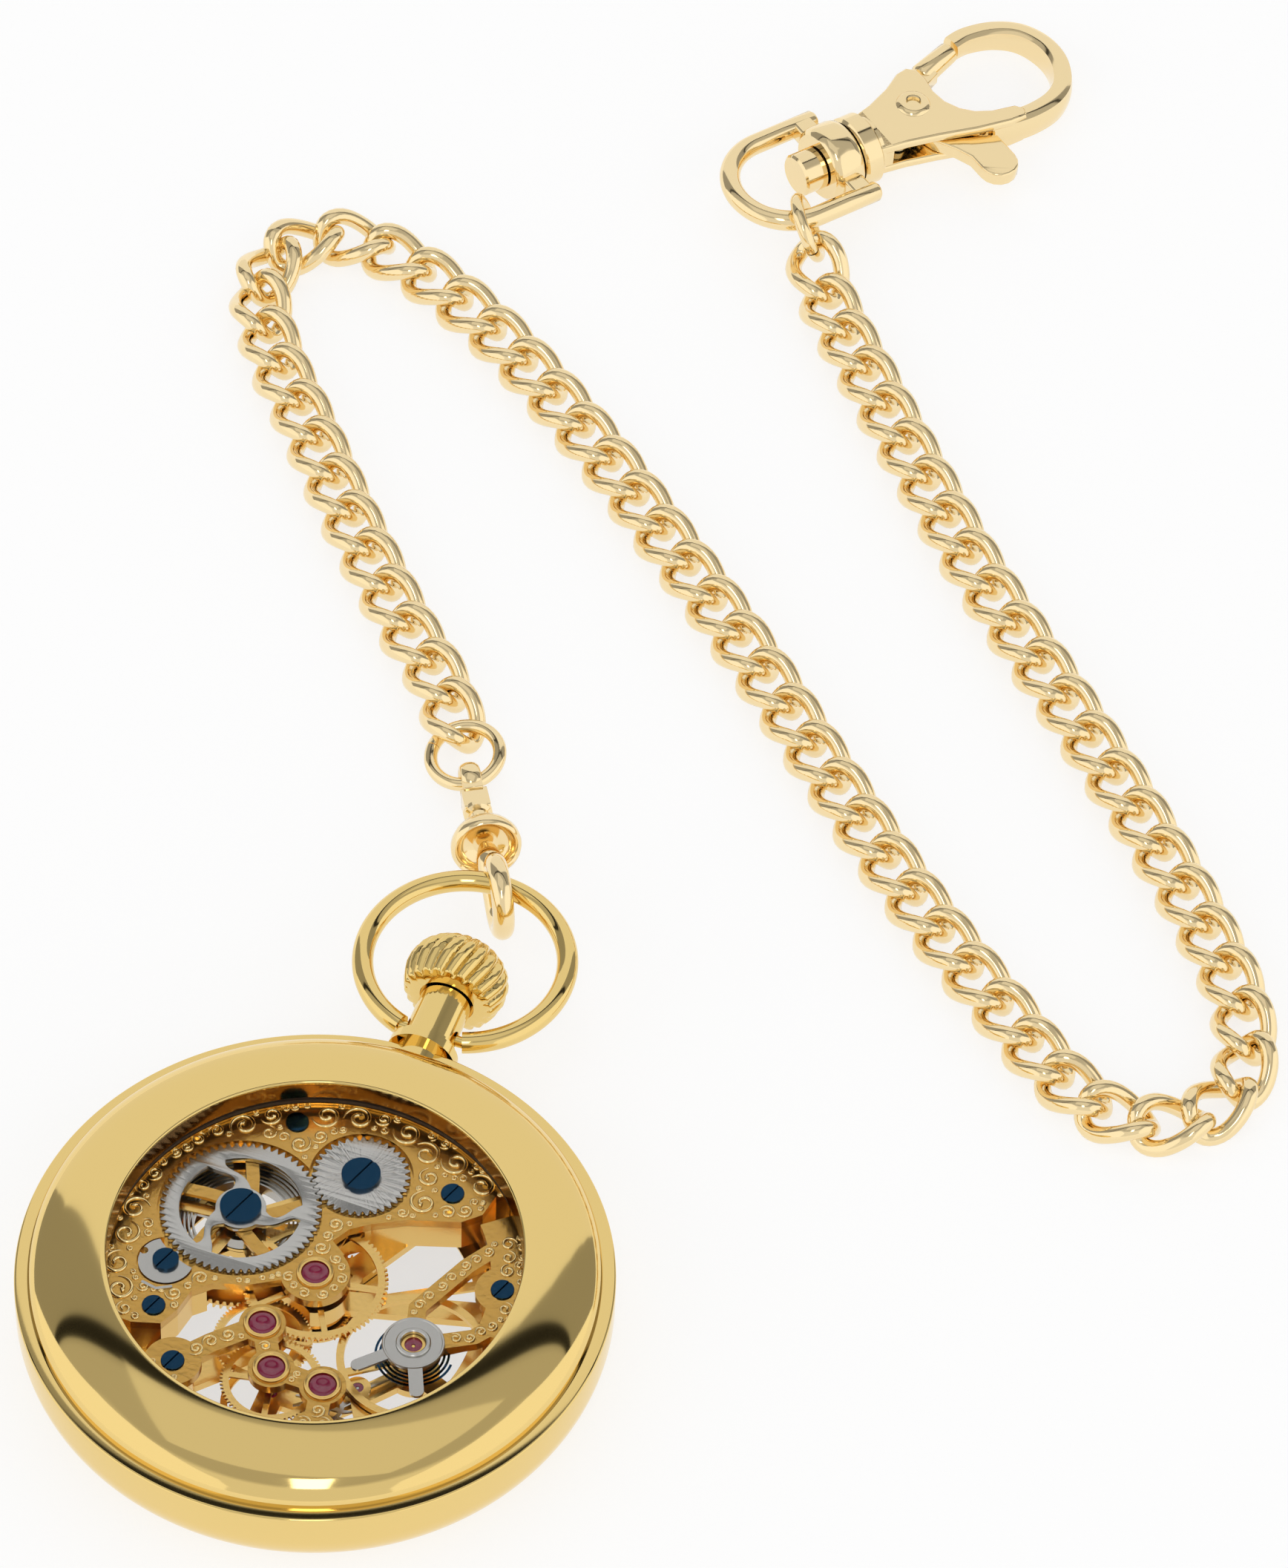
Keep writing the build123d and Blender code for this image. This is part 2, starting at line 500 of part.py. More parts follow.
def barrel():
    teeth, module = 84, 0.19167
    z0 = 4.75
    drum = gear(teeth, module, z0, 5.35, BARREL, 0.0, 0.85)
    drum += disc(6.7, 5.3, 6.6, BARREL)
    drum -= disc(6.3, z0 + 0.3, 7, BARREL)
    drum -= crossing(5.9, 2.2, 5, 1.0, z0, z0 + 0.3, BARREL, 20)
    drum -= disc(0.7 + RUN, 4, 7, BARREL)
    cover = disc(6.28, 6.42, 6.6, BARREL) - disc(0.85, 6, 7, BARREL)
    cover -= crossing(5.7, 1.6, 5, 1.0, 6.42, 6.6, BARREL, 40)
    save("barrel_drum", drum, cover)
    coils = [ring(1.75 + 0.42 * i, 1.6 + 0.42 * i, 5.15, 6.35, BARREL) for i in range(2)]
    coils += [ring(4.1 + 0.36 * i, 3.95 + 0.36 * i, 5.15, 6.35, BARREL) for i in range(6)]
    for i in range(2):
        coils.append(bar(polar(2.2, 180 * i, BARREL), polar(3.96, 180 * i, BARREL), 0.14, 5.15, 6.35))
    save("mainspring", *coils)


def train():
    barrel_teeth, barrel_module = 84, 0.19167
    phase = mesh_phase(BARREL, (0, 0), barrel_teeth, 12)
    pinion = gear(12, barrel_module, 4.6, 6.3, (0, 0), phase, 0.85)
    centre = wheel(80, 0.1491, 6.6, 6.9, (0, 0), 5)
    arbor = disc(0.5, 4.45, 7.1) + disc(0.33, 7.1, 7.9) + disc(0.43, 1.95, 4.45) + pinion
    save("centre_wheel", centre - disc(0.5, 6, 7), arbor)

    pinion_phase = mesh_phase((0, 0), THIRD, 80, 10)
    solid = wheel(75, 0.10856, 5.5, 5.75, THIRD, 4)
    solid += gear(10, 0.1491, 6.5, 7.0, THIRD, pinion_phase)
    solid += disc(0.25, 4.5, 7.1, THIRD) + disc(0.2, 7.1, 7.85, THIRD) + disc(0.13, 3.75, 4.5, THIRD)
    save("third_wheel", solid)

    pinion_phase = mesh_phase(THIRD, FOURTH, 75, 10)
    solid = wheel(70, 0.11958, 6.15, 6.35, FOURTH, 4)
    solid += gear(10, 0.10856, 5.4, 5.85, FOURTH, pinion_phase)
    solid += disc(0.25, 4.5, 7.1, FOURTH) + disc(0.2, 7.1, 7.85, FOURTH) + disc(0.2, 2.2, 4.5, FOURTH)
    save("fourth_wheel", solid)

    pinion_phase = mesh_phase(FOURTH, ESCAPE, 70, 7)
    tip_r, teeth = 2.5, 15
    solid = disc(1.75, 4.95, 5.15, ESCAPE)
    for i in range(teeth):
        a = 360 * i / teeth
        corners = [polar(1.7, a - 7), polar(tip_r, a + 5), polar(tip_r, a + 8), polar(1.7, a + 4)]
        solid += Pos(*ESCAPE, 0) * slab(corners, 4.95, 5.15)
    solid -= crossing(1.4, 0.55, 4, 0.35, 4.95, 5.15, ESCAPE)
    solid += gear(7, 0.11958, 6.05, 6.45, ESCAPE, pinion_phase, 0.9)
    solid += disc(0.25, 4.5, 7.1, ESCAPE) + disc(0.2, 7.1, 7.85, ESCAPE) + disc(0.13, 3.75, 4.5, ESCAPE)
    save("escape_wheel", solid)


def escapement():
    z0, z1 = 4.9, 5.2
    line = math.degrees(math.atan2(ESCAPE[1] - PALLET[1], ESCAPE[0] - PALLET[0]))
    out = math.degrees(math.atan2(BALANCE[1] - PALLET[1], BALANCE[0] - PALLET[0]))
    fork_end = polar(3.7, out, PALLET)
    fork = disc(0.5, z0, z1, PALLET) + bar(PALLET, fork_end, 0.4, z0, z1)
    stones = []
    for side in (-1, 1):
        hold = polar(2.94, line + 180 + side * 38, ESCAPE)
        stone_at = polar(2.94, line + 180 + side * 42, ESCAPE)
        fork += path_bars((PALLET, polar(1.2, line + side * 78, PALLET), hold), 0.4, z0, z1)
        stones.append(Pos(*stone_at, (z0 + z1) / 2) * Rot(0, 0, line + side * 42) * Box(0.28, 0.28, 0.2))
        fork += bar(fork_end, polar(0.55, out + side * 50, fork_end), 0.25, z0, z1)
    for stone in stones:
        fork -= stone
    staff = disc(0.2, 4.5, 5.35, PALLET) + disc(0.12, 3.75, 5.65, PALLET)
    save("pallet_fork", fork + staff)
    save("pallet_stones", *stones)

    rim0, rim1 = 5.9, 6.4
    hub = 0.9
    balance = ring(6.4, 5.75, rim0, rim1, BALANCE) + disc(hub, rim0 + 0.1, rim1 - 0.1, BALANCE)
    for turn in (35, 215):
        balance += bar(BALANCE, polar(6.0, turn, BALANCE), 0.7, rim0 + 0.1, rim1 - 0.1)
    balance -= disc(0.4, 5, 7, BALANCE)
    staff = disc(0.4, 4.9, 6.7, BALANCE) + disc(0.13, 3.75, 7.85, BALANCE)
    staff += disc(1.15, 5.45, 5.65, BALANCE)
    pin = polar(0.95, out + 180, BALANCE)
    save("balance_wheel", balance, staff + disc(0.13, 4.95, 5.5, pin))

    turns, inner, outer = 7, 0.75, 3.3
    steps = 10 * turns
    route = [
        (*polar(inner + (outer - inner) * i / steps, 36 * i, BALANCE), 6.8)
        for i in range(steps + 1)
    ]
    spiral = Spline(*route)
    start = Plane(origin=spiral @ 0, z_dir=spiral % 0)
    save("hairspring", sweep(start * Rectangle(0.2, 0.06), spiral))


def motion_work():
    cannon = disc(0.7, 1.9, 3.5) + gear(12, 0.15, 3.28, 3.5) - disc(0.43 + 0.02, 1.85, 4)
    save("cannon_pinion", cannon)
    phase = mesh_phase((0, 0), MINUTE_WHEEL, 12, 36)
    solid = gear(36, 0.15, 3.28, 3.5, MINUTE_WHEEL, phase)
    solid += gear(12, 0.12, 3.03, 3.28, MINUTE_WHEEL) + disc(0.25, 3.03, 4.2, MINUTE_WHEEL)
    save("minute_wheel", solid)
    phase = mesh_phase(MINUTE_WHEEL, (0, 0), 12, 48)
    hour = gear(48, 0.12, 3.05, 3.2, (0, 0), phase) + disc(0.98, 2.25, 3.2) - disc(0.74, 2, 3.3)
    save("hour_wheel", hour)

    hour_hand = disc(1.45, 2.28, 2.43) + bar((0, 0), (0, 4.6), 0.55, 2.28, 2.43)
    hour_hand += ring(1.0, 0.5, 2.28, 2.43, (0, 4.9)) + bar((0, 5.8), (0, 6.9), 0.35, 2.28, 2.43)
    save("hour_hand", hour_hand - disc(0.98, 2, 3))
    minute_hand = disc(1.1, 1.98, 2.12) + bar((0, 0), (0, 9.2), 0.45, 1.98, 2.12)
    minute_hand += ring(0.85, 0.45, 1.98, 2.12, (0, 9.9)) + bar((0, 10.6), (0, 13.2), 0.3, 1.98, 2.12)
    save("minute_hand", minute_hand - disc(0.7, 1.5, 3))
    seconds = disc(0.5, 2.5, 2.62, FOURTH) + bar(polar(1.4, 270, FOURTH), polar(3.1, 90, FOURTH), 0.2, 2.5, 2.62)
    save("seconds_hand", seconds - disc(0.2, 2, 3, FOURTH))


# ---------------------------------------------------------------- swivel hook and chain
def swivel_plane(along):
    """A plane whose Z is the swivel axis, towards the chain, and whose X is level."""
    bearing, dip = math.radians(SWIVEL_BEARING), math.radians(SWIVEL_DIP)
    axis = Vector(
        math.cos(bearing) * math.cos(dip), math.sin(bearing) * math.cos(dip), -math.sin(dip)
    )
    level = Vector(math.sin(bearing), -math.cos(bearing), 0)
    return Plane(origin=SWIVEL_C + axis * along, x_dir=level, z_dir=axis)


def swivel():
    wire = 0.85
    loop_r = 2.9
    hook = swivel_plane(HOOK_AT)
    arc = CenterArc((0, 0), loop_r, 55, 275)
    start = Plane(origin=arc @ 0, z_dir=arc % 0)
    loop = sweep(start * Circle(wire), arc)
    upright = hook * Plane(origin=(0, 0, 0), x_dir=(0, 0, 1), z_dir=(-1, 0, 0))
    solid = upright * loop
    a = math.radians(55)
    knee = hook.from_local_coords(Vector(0, loop_r * math.sin(a), loop_r * math.cos(a)))
    neck = swivel_plane(-2.6).origin
    solid += Pos(knee.X, knee.Y, knee.Z) * Sphere(wire)
    solid += tube_between(knee, neck, wire) + Pos(neck.X, neck.Y, neck.Z) * Sphere(wire)
    solid += tube_between(neck, swivel_plane(-1.55).origin, wire)
    solid += swivel_plane(-1.15) * Cylinder(0.7, 1.6) + swivel_plane(-0.2) * Cylinder(1.1, 0.3)
    save("swivel_hook", solid)

    profile = ((0.75, -0.9), (1.8, -1.35), (2.7, -1.4), (3.05, -1.0), (3.1, -0.5), (2.8, 0.4),
               (2.0, 1.0), (0.9, 1.15), (0.9, 0.75), (1.6, 0.6), (2.3, 0.1), (2.5, -0.5), (2.3, -0.8),
               (1.6, -0.7), (0.75, -0.45))
    cup = lathe(profile)
    save("swivel_cup", swivel_plane(0) * cup)

    eye = Pos(0, 0, 2.6) * Cylinder(0.8, 4.9) + Pos(0, 0, 5.4) * Box(2.5, 2.1, 1.6)
    eye += Pos(0, 0, EYE_AT) * Rot(0, 90, 0) * Cylinder(1.9, 1.8) + Pos(0, 0, 6.8) * Box(1.8, 2.6, 2.0)
    eye -= Pos(0, 0, EYE_AT) * Rot(0, 90, 0) * Cylinder(0.9, 6)
    save("swivel_eye", swivel_plane(0) * eye)


def ring_plane():
    """The near jump ring: its wire goes through the eye, and its far side takes the first link."""
    eye = swivel_plane(EYE_AT).origin
    bearing = math.radians(SWIVEL_BEARING + RING_TURN)
    rise = math.radians(RING_RISE)
    roll = math.radians(RING_ROLL)
    out = Vector(math.cos(bearing) * math.cos(rise), math.sin(bearing) * math.cos(rise), math.sin(rise))
    level = Vector(math.sin(bearing), -math.cos(bearing), 0)
    across = level * math.cos(roll) + level.cross(out) * math.sin(roll)
    return Plane(origin=eye + out * RING_R, x_dir=across, z_dir=across.cross(out))


def near_ring():
    save("jump_ring_near", ring_plane() * Torus(RING_R, RING_WIRE / 2))


def link_solid():
    """One twisted curb link along X: two half rings turned opposite ways, joined by its sides."""
    bend_r = (LINK_WIDTH - LINK_WIRE) / 2
    wire_r = LINK_WIRE / 2
    straight = (LINK_LENGTH - LINK_WIRE) / 2 - bend_r
    arc = CenterArc((0, 0), bend_r, -90, 180)
    start = Plane(origin=arc @ 0, z_dir=arc % 0)
    end = Pos(straight, 0, 0) * Rot(LINK_TWIST, 0, 0) * sweep(start * Circle(wire_r), arc)
    link = end + Rot(0, 0, 180) * end
    turn = math.radians(LINK_TWIST)
    for side in (-1, 1):
        y, z = side * bend_r * math.cos(turn), side * bend_r * math.sin(turn)
        link += tube_between(Vector(straight, y, z), Vector(-straight, y, -z), wire_r)
        link += Pos(straight, y, z) * Sphere(wire_r) + Pos(-straight, y, -z) * Sphere(wire_r)
    return link.solid()


def chain():
    route = Spline(*[(x, y, LINK_Z) for x, y in CHAIN_ROUTE])
    total = sum(CHAIN_SECTIONS)
    link = link_solid()
    placed = []
    for i in range(total):
        a = route @ (i / total)
        b = route @ ((i + 1) / total)
        middle = route @ ((i + 0.5) / total)
        bearing = math.degrees(math.atan2(b.Y - a.Y, b.X - a.X))
        rise = LAST_LINK_RISE if i == total - 1 else 0
        lift = route.length / total / 2 * math.sin(math.radians(rise))
        at = Pos(middle.X, middle.Y, LINK_Z + lift) * Rot(0, 0, bearing) * Rot(0, -rise, 0)
        placed.append(at * link)
    first = 0
    for number, count in enumerate(CHAIN_SECTIONS, 1):
        save(f"chain_links_{number}", *placed[first:first + count])
        first += count
    print("links", total, "length", round(route.length, 1), "pitch", round(route.length / total, 3))


# ---------------------------------------------------------------- clasp
def clasp_frame():
    """Z is up from the clasp's flat faces and X runs from the bail to the hook."""
    bearing, dip = math.radians(CLASP_BEARING), math.radians(CLASP_DIP)
    along = Vector(
        math.cos(bearing) * math.cos(dip), math.sin(bearing) * math.cos(dip), -math.sin(dip)
    )
    level = Vector(-math.sin(bearing), math.cos(bearing), 0)
    return Plane(origin=CLASP_C, x_dir=along, z_dir=along.cross(level))


def clasp():
    frame = clasp_frame()
    side, wire, back = 5.2, 0.95, -5.0
    arc = CenterArc((back, 0), side, 90, 180)
    start = Plane(origin=arc @ 0, z_dir=arc % 0)
    bail = sweep(start * Circle(wire), arc)
    for s in (-1, 1):
        bail += tube_between(Vector(back, s * side, 0), Vector(1.4, s * side, 0), wire)
    block = Rot(0, 90, 0) * Cylinder(3.3, 3.2)
    bail += (block & Box(10, 8, 7)) + Box(2.0, 2 * side, 1.8)
    bail -= Rot(0, 90, 0) * Cylinder(1.45 + RUN, 8)
    save("clasp_bail", frame * bail)

    post = Pos(1.0, 0, 0) * Rot(0, 90, 0) * Cylinder(1.45, 5.6)
    post += Pos(-2.9, 0, 0) * Rot(0, 90, 0) * Cylinder(2.0, 2.2)
    flange = Pos(2.8, 0, 0) * Rot(0, 90, 0) * Cylinder(3.4, 2.0)
    outline = (
        (3.6, -2.6), (3.6, 2.6), (6.0, 3.1), (9.5, 4.6), (11.4, 4.8), (12.2, 4.2), (12.4, 3.0),
        (12.0, 1.6), (12.3, -0.4), (13.4, -2.1), (15.4, -3.2), (17.6, -3.6), (20.4, -3.5),
        (22.6, -2.6), (23.7, -0.6), (23.8, 1.6), (22.6, 3.6), (20.6, 4.6), (18.35, 4.75),
        (17.9, 7.0), (20.6, 7.1), (23.2, 6.0), (25.2, 3.4), (25.8, 0.4), (25.3, -2.8),
        (23.4, -5.0), (20.6, -5.8), (17.0, -5.6), (13.0, -4.6), (9.0, -3.6), (6.0, -2.9),
    )
    body = slab(outline, -BODY_HALF, BODY_HALF)
    pivot = (9.6, 1.0)
    body -= slab(((5.0, -6), (5.0, -1.0), (8.4, 3.0), (12.9, 6), (12.9, -1.6), (15.6, -6)), -0.8, 0.8)
    body -= disc(1.0 + RUN, -3, 3, pivot)
    save("clasp_body", frame * (post + flange + body))

    rivet = ring(1.0, 0.55, -BODY_HALF - 0.25, BODY_HALF + 0.25, pivot)
    rivet += ring(1.6, 0.55, BODY_HALF + 0.02, BODY_HALF + 0.3, pivot)
    rivet += ring(1.6, 0.55, -BODY_HALF - 0.3, -BODY_HALF - 0.02, pivot)
    save("clasp_rivet", frame * rivet)

    gate = disc(2.0, -0.72, 0.72, pivot)
    gate += slab(((9.4, 1.6), (12.6, 5.6), (17.5, 6.2), (17.7, 5.0), (13.2, 3.4), (11.2, 0.4)), -0.72, 0.72)
    gate += slab(((8.6, -0.4), (9.6, -3.4), (11.6, -6.0), (14.6, -6.0), (14.8, -4.9), (12.4, -3.6),
                  (11.6, -0.4)), -0.72, 0.72)
    gate += path_bars(((12.9, -6.4), (13.1, -8.3)), 3.2, -0.72, 0.72)
    gate -= disc(1.0 + RUN, -3, 3, pivot)
    save("clasp_gate", frame * gate)
    coil = ring(0.75, 0.45, -0.6, 0.6, (6.8, -0.9))
    save("clasp_spring", frame * coil)

    far = Plane(origin=(-0.4, 128.322, 3.757), x_dir=(0.468, -0.884, 0), z_dir=(0.823, 0.436, 0.363))
    save("jump_ring_far", far * Torus(2.75, RING_WIRE / 2))


case()
bow()
crown()
main_plate()
bridges()
jewels_and_screws()
dial()
winding()
barrel()
train()
escapement()
motion_work()
swivel()
near_ring()
chain()
clasp()
print("nodes", len(NODES))
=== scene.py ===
import json
import math
import bmesh
import bpy
from mathutils import Matrix, Vector


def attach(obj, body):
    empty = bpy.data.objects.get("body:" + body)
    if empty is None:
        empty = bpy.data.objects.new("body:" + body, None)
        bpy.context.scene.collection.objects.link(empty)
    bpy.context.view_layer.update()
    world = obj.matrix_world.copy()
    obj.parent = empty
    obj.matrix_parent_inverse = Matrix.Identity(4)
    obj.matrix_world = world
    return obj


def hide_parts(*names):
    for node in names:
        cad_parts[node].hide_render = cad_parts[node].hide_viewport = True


# Millimetres in the row frame throughout; MM turns them into Blender's metres.
MM = 0.001
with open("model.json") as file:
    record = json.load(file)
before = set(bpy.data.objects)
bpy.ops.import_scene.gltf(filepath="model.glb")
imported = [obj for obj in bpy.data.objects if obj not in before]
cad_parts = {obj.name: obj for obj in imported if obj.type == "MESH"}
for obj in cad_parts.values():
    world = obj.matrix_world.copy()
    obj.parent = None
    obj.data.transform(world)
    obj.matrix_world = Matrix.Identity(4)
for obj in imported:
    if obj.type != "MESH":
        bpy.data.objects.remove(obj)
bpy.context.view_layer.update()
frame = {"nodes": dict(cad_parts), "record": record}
nodes = frame["nodes"]
scene = bpy.context.scene
scene.view_settings.view_transform = "Standard"


# ---------------------------------------------------------------- materials
def material(name, colour, metallic=0.0, rough=0.3, **extra):
    mat = bpy.data.materials.new(name)
    mat.use_nodes = True
    shader = mat.node_tree.nodes["Principled BSDF"]
    shader.inputs["Base Color"].default_value = (*colour, 1)
    shader.inputs["Metallic"].default_value = metallic
    shader.inputs["Roughness"].default_value = rough
    for key, value in extra.items():
        shader.inputs[key.replace("_", " ")].default_value = value
    return mat


def bumpy(mat, scale, distance, detail=3.0, stretch=(1, 1, 1)):
    """Adds a fine noise bump, sized in 1/metres, to a material."""
    tree = mat.node_tree
    shader = tree.nodes["Principled BSDF"]
    coords = tree.nodes.new("ShaderNodeTexCoord")
    mapping = tree.nodes.new("ShaderNodeMapping")
    mapping.inputs["Scale"].default_value = stretch
    noise = tree.nodes.new("ShaderNodeTexNoise")
    noise.inputs["Scale"].default_value = scale
    noise.inputs["Detail"].default_value = detail
    bump = tree.nodes.new("ShaderNodeBump")
    bump.inputs["Distance"].default_value = distance
    tree.links.new(coords.outputs["Object"], mapping.inputs["Vector"])
    tree.links.new(mapping.outputs["Vector"], noise.inputs["Vector"])
    tree.links.new(noise.outputs["Fac"], bump.inputs["Height"])
    tree.links.new(bump.outputs["Normal"], shader.inputs["Normal"])
    return mat


def sunray(mat, at):
    """Fine brushing in rays from a centre, in millimetres."""
    tree = mat.node_tree
    coords = tree.nodes.new("ShaderNodeTexCoord")
    shift = tree.nodes.new("ShaderNodeVectorMath")
    shift.inputs[1].default_value = (-at[0] * MM, -at[1] * MM, 0)
    grain = tree.nodes.new("ShaderNodeTexGradient")
    grain.gradient_type = "RADIAL"
    noise = tree.nodes.new("ShaderNodeTexNoise")
    noise.noise_dimensions = "1D"
    noise.inputs["Scale"].default_value = 90
    noise.inputs["Detail"].default_value = 4
    bump = tree.nodes.new("ShaderNodeBump")
    bump.inputs["Distance"].default_value = 0.00003
    tree.links.new(coords.outputs["Object"], shift.inputs[0])
    tree.links.new(shift.outputs["Vector"], grain.inputs["Vector"])
    tree.links.new(grain.outputs["Fac"], noise.inputs["W"])
    tree.links.new(noise.outputs["Fac"], bump.inputs["Height"])
    tree.links.new(bump.outputs["Normal"], tree.nodes["Principled BSDF"].inputs["Normal"])
    return mat


CASE_GOLD = material("case_gold", (0.84, 0.62, 0.235), 1.0, 0.07)
MOVE_GOLD = bumpy(material("movement_gold", (0.90, 0.60, 0.20), 1.0, 0.22), 2500, 0.00001)
# painted shade: a darker copy of the movement gold for the bridges' ground between the scrolls; the bump and roughness
# are its real finish
BRIDGE_GOLD_PAINTED_SHADE = bumpy(material("bridge_gold_painted_shade", (0.68, 0.40, 0.10), 1.0, 0.22), 1500, 0.00003)
# painted shade: a dark copy of the case gold that stands in for the dark reflection on the bezel's inner wall
WALL_GOLD_PAINTED_SHADE = material("wall_gold_painted_shade", (0.30, 0.15, 0.04), 1.0, 0.12)
# painted highlight: a lighter copy of the movement gold for the raised scrolls; only the lower roughness is their real
# polish
RELIEF_GOLD_PAINTED_HIGHLIGHT = material("relief_gold_painted_highlight", (0.98, 0.76, 0.36), 1.0, 0.12)
CHAIN_GOLD = material("chain_gold", (0.93, 0.74, 0.42), 1.0, 0.1)
STEEL = material("polished_steel", (0.56, 0.55, 0.52), 1.0, 0.25)
SUNRAY = sunray(material("sunray_steel", (0.60, 0.59, 0.56), 1.0, 0.2), (0.08, 10.7))
BLUED = material("blued_steel", (0.010, 0.042, 0.085), 1.0, 0.12)
RUBY = material("ruby", (0.42, 0.004, 0.075), 0.0, 0.03, Transmission_Weight=0.45, IOR=1.76)
GLASS = material("crystal_glass", (0, 0, 0), 0.0, 0.0, Alpha=0.03)
GASKET = material("gasket", (0.05, 0.03, 0.02), 0.0, 0.6)
FLOOR = material("floor_white", (0.3, 0.3, 0.3), 0.0, 0.9, Emission_Color=(1, 1, 1, 1), Emission_Strength=0.74)

LOOKS = {
    "case_gold": CASE_GOLD, "movement_gold": MOVE_GOLD, "balance_gold": MOVE_GOLD,
    "chain_gold": CHAIN_GOLD, "steel": STEEL, "blued_steel": BLUED, "ruby": RUBY,
    "glass": GLASS, "gasket": GASKET,
}
for part in frame["record"]["subparts"]:
    obj = nodes[part["node"]]
    obj.data.materials.clear()
    obj.data.materials.append(LOOKS[part["material_slot"]])
# the bridges get the darker copy of the gold: painted shade
for name in ("barrel_bridge", "train_bridge", "balance_cock"):
    nodes[name].data.materials[0] = BRIDGE_GOLD_PAINTED_SHADE


# ---------------------------------------------------------------- mesh helpers
def finish_piece(obj, slot, body, hides=()):
    obj.data.materials.clear()
    obj.data.materials.append(LOOKS[slot])
    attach(obj, body)
    if hides:
        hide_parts(*hides)
    return obj


def piece(name, verts, faces, slot, body, hides=(), sharp=40, place=None):
    """A smooth-shaded mesh piece; sharp is the angle above which an edge stays crisp."""
    mesh = bpy.data.meshes.new(name)
    mesh.from_pydata([Vector(v) * MM for v in verts], [], faces)
    tidy = bmesh.new()
    tidy.from_mesh(mesh)
    bmesh.ops.remove_doubles(tidy, verts=tidy.verts, dist=1e-7)
    bmesh.ops.recalc_face_normals(tidy, faces=tidy.faces)
    if place is not None:
        bmesh.ops.transform(tidy, matrix=place, verts=tidy.verts)
    tidy.to_mesh(mesh)
    tidy.free()
    mesh.shade_smooth()
    mesh.set_sharp_from_angle(angle=math.radians(sharp))
    obj = bpy.data.objects.new(name, mesh)
    scene.collection.objects.link(obj)
    return finish_piece(obj, slot, body, hides)


def grid_faces(rows, columns, close_rows=False, close_columns=True, base=0):
    faces = []
    for i in range(rows if close_rows else rows - 1):
        for j in range(columns if close_columns else columns - 1):
            a = base + i * columns + j
            b = base + i * columns + (j + 1) % columns
            c = base + ((i + 1) % rows) * columns + (j + 1) % columns
            d = base + ((i + 1) % rows) * columns + j
            faces.append((a, b, c, d))
    return faces


def turned(profile, segments=256, closed=True):
    """Vertices and faces of an (r, z) outline turned about Z."""
    verts = [
        (r * math.cos(2 * math.pi * j / segments), r * math.sin(2 * math.pi * j / segments), z)
        for r, z in profile
        for j in range(segments)
    ]
    return verts, grid_faces(len(profile), segments, close_rows=closed)


def arc(cx, cz, radius_r, radius_z, start, end, steps):
    """Points of an elliptical arc in an (r, z) outline, angles in degrees."""
    points = []
    for i in range(steps + 1):
        a = math.radians(start + (end - start) * i / steps)
        points.append((cx + radius_r * math.cos(a), cz + radius_z * math.sin(a)))
    return points


def tube(path, radius, sides=20, closed=False, flat=None):
    """Vertices and faces of a round wire along path. radius is a number or one per point."""
    count = len(path)
    points = [Vector(p) for p in path]
    radii = [radius] * count if isinstance(radius, (int, float)) else list(radius)
    tangents = []
    for i in range(count):
        before = points[i - 1] if closed or i else points[0]
        after = points[(i + 1) % count] if closed or i < count - 1 else points[-1]
        tangents.append((after - before).normalized())
    normal = flat or tangents[0].orthogonal()
    verts, frames = [], []
    for i in range(count):
        normal = (normal - tangents[i] * normal.dot(tangents[i])).normalized()
        frames.append((normal.copy(), tangents[i].cross(normal)))
    if closed:
        end = (frames[-1][0] - tangents[0] * frames[-1][0].dot(tangents[0])).normalized()
        slip = math.atan2(end.dot(frames[0][1]), end.dot(frames[0][0]))
        for i, (u, v) in enumerate(frames):
            a = -slip * i / count
            frames[i] = (u * math.cos(a) + v * math.sin(a), v * math.cos(a) - u * math.sin(a))
    for point, (u, v), r in zip(points, frames, radii):
        for j in range(sides):
            a = 2 * math.pi * j / sides
            verts.append(point + u * (r * math.cos(a)) + v * (r * math.sin(a)))
    faces = grid_faces(count, sides, close_rows=closed)
    if not closed:
        faces.append(tuple(range(sides)))
        faces.append(tuple(range((count - 1) * sides, count * sides)))
    return verts, faces


def merged(*meshes):
    verts, faces = [], []
    for v, f in meshes:
        base = len(verts)
        verts += v
        faces += [tuple(i + base for i in face) for face in f]
    return verts, faces


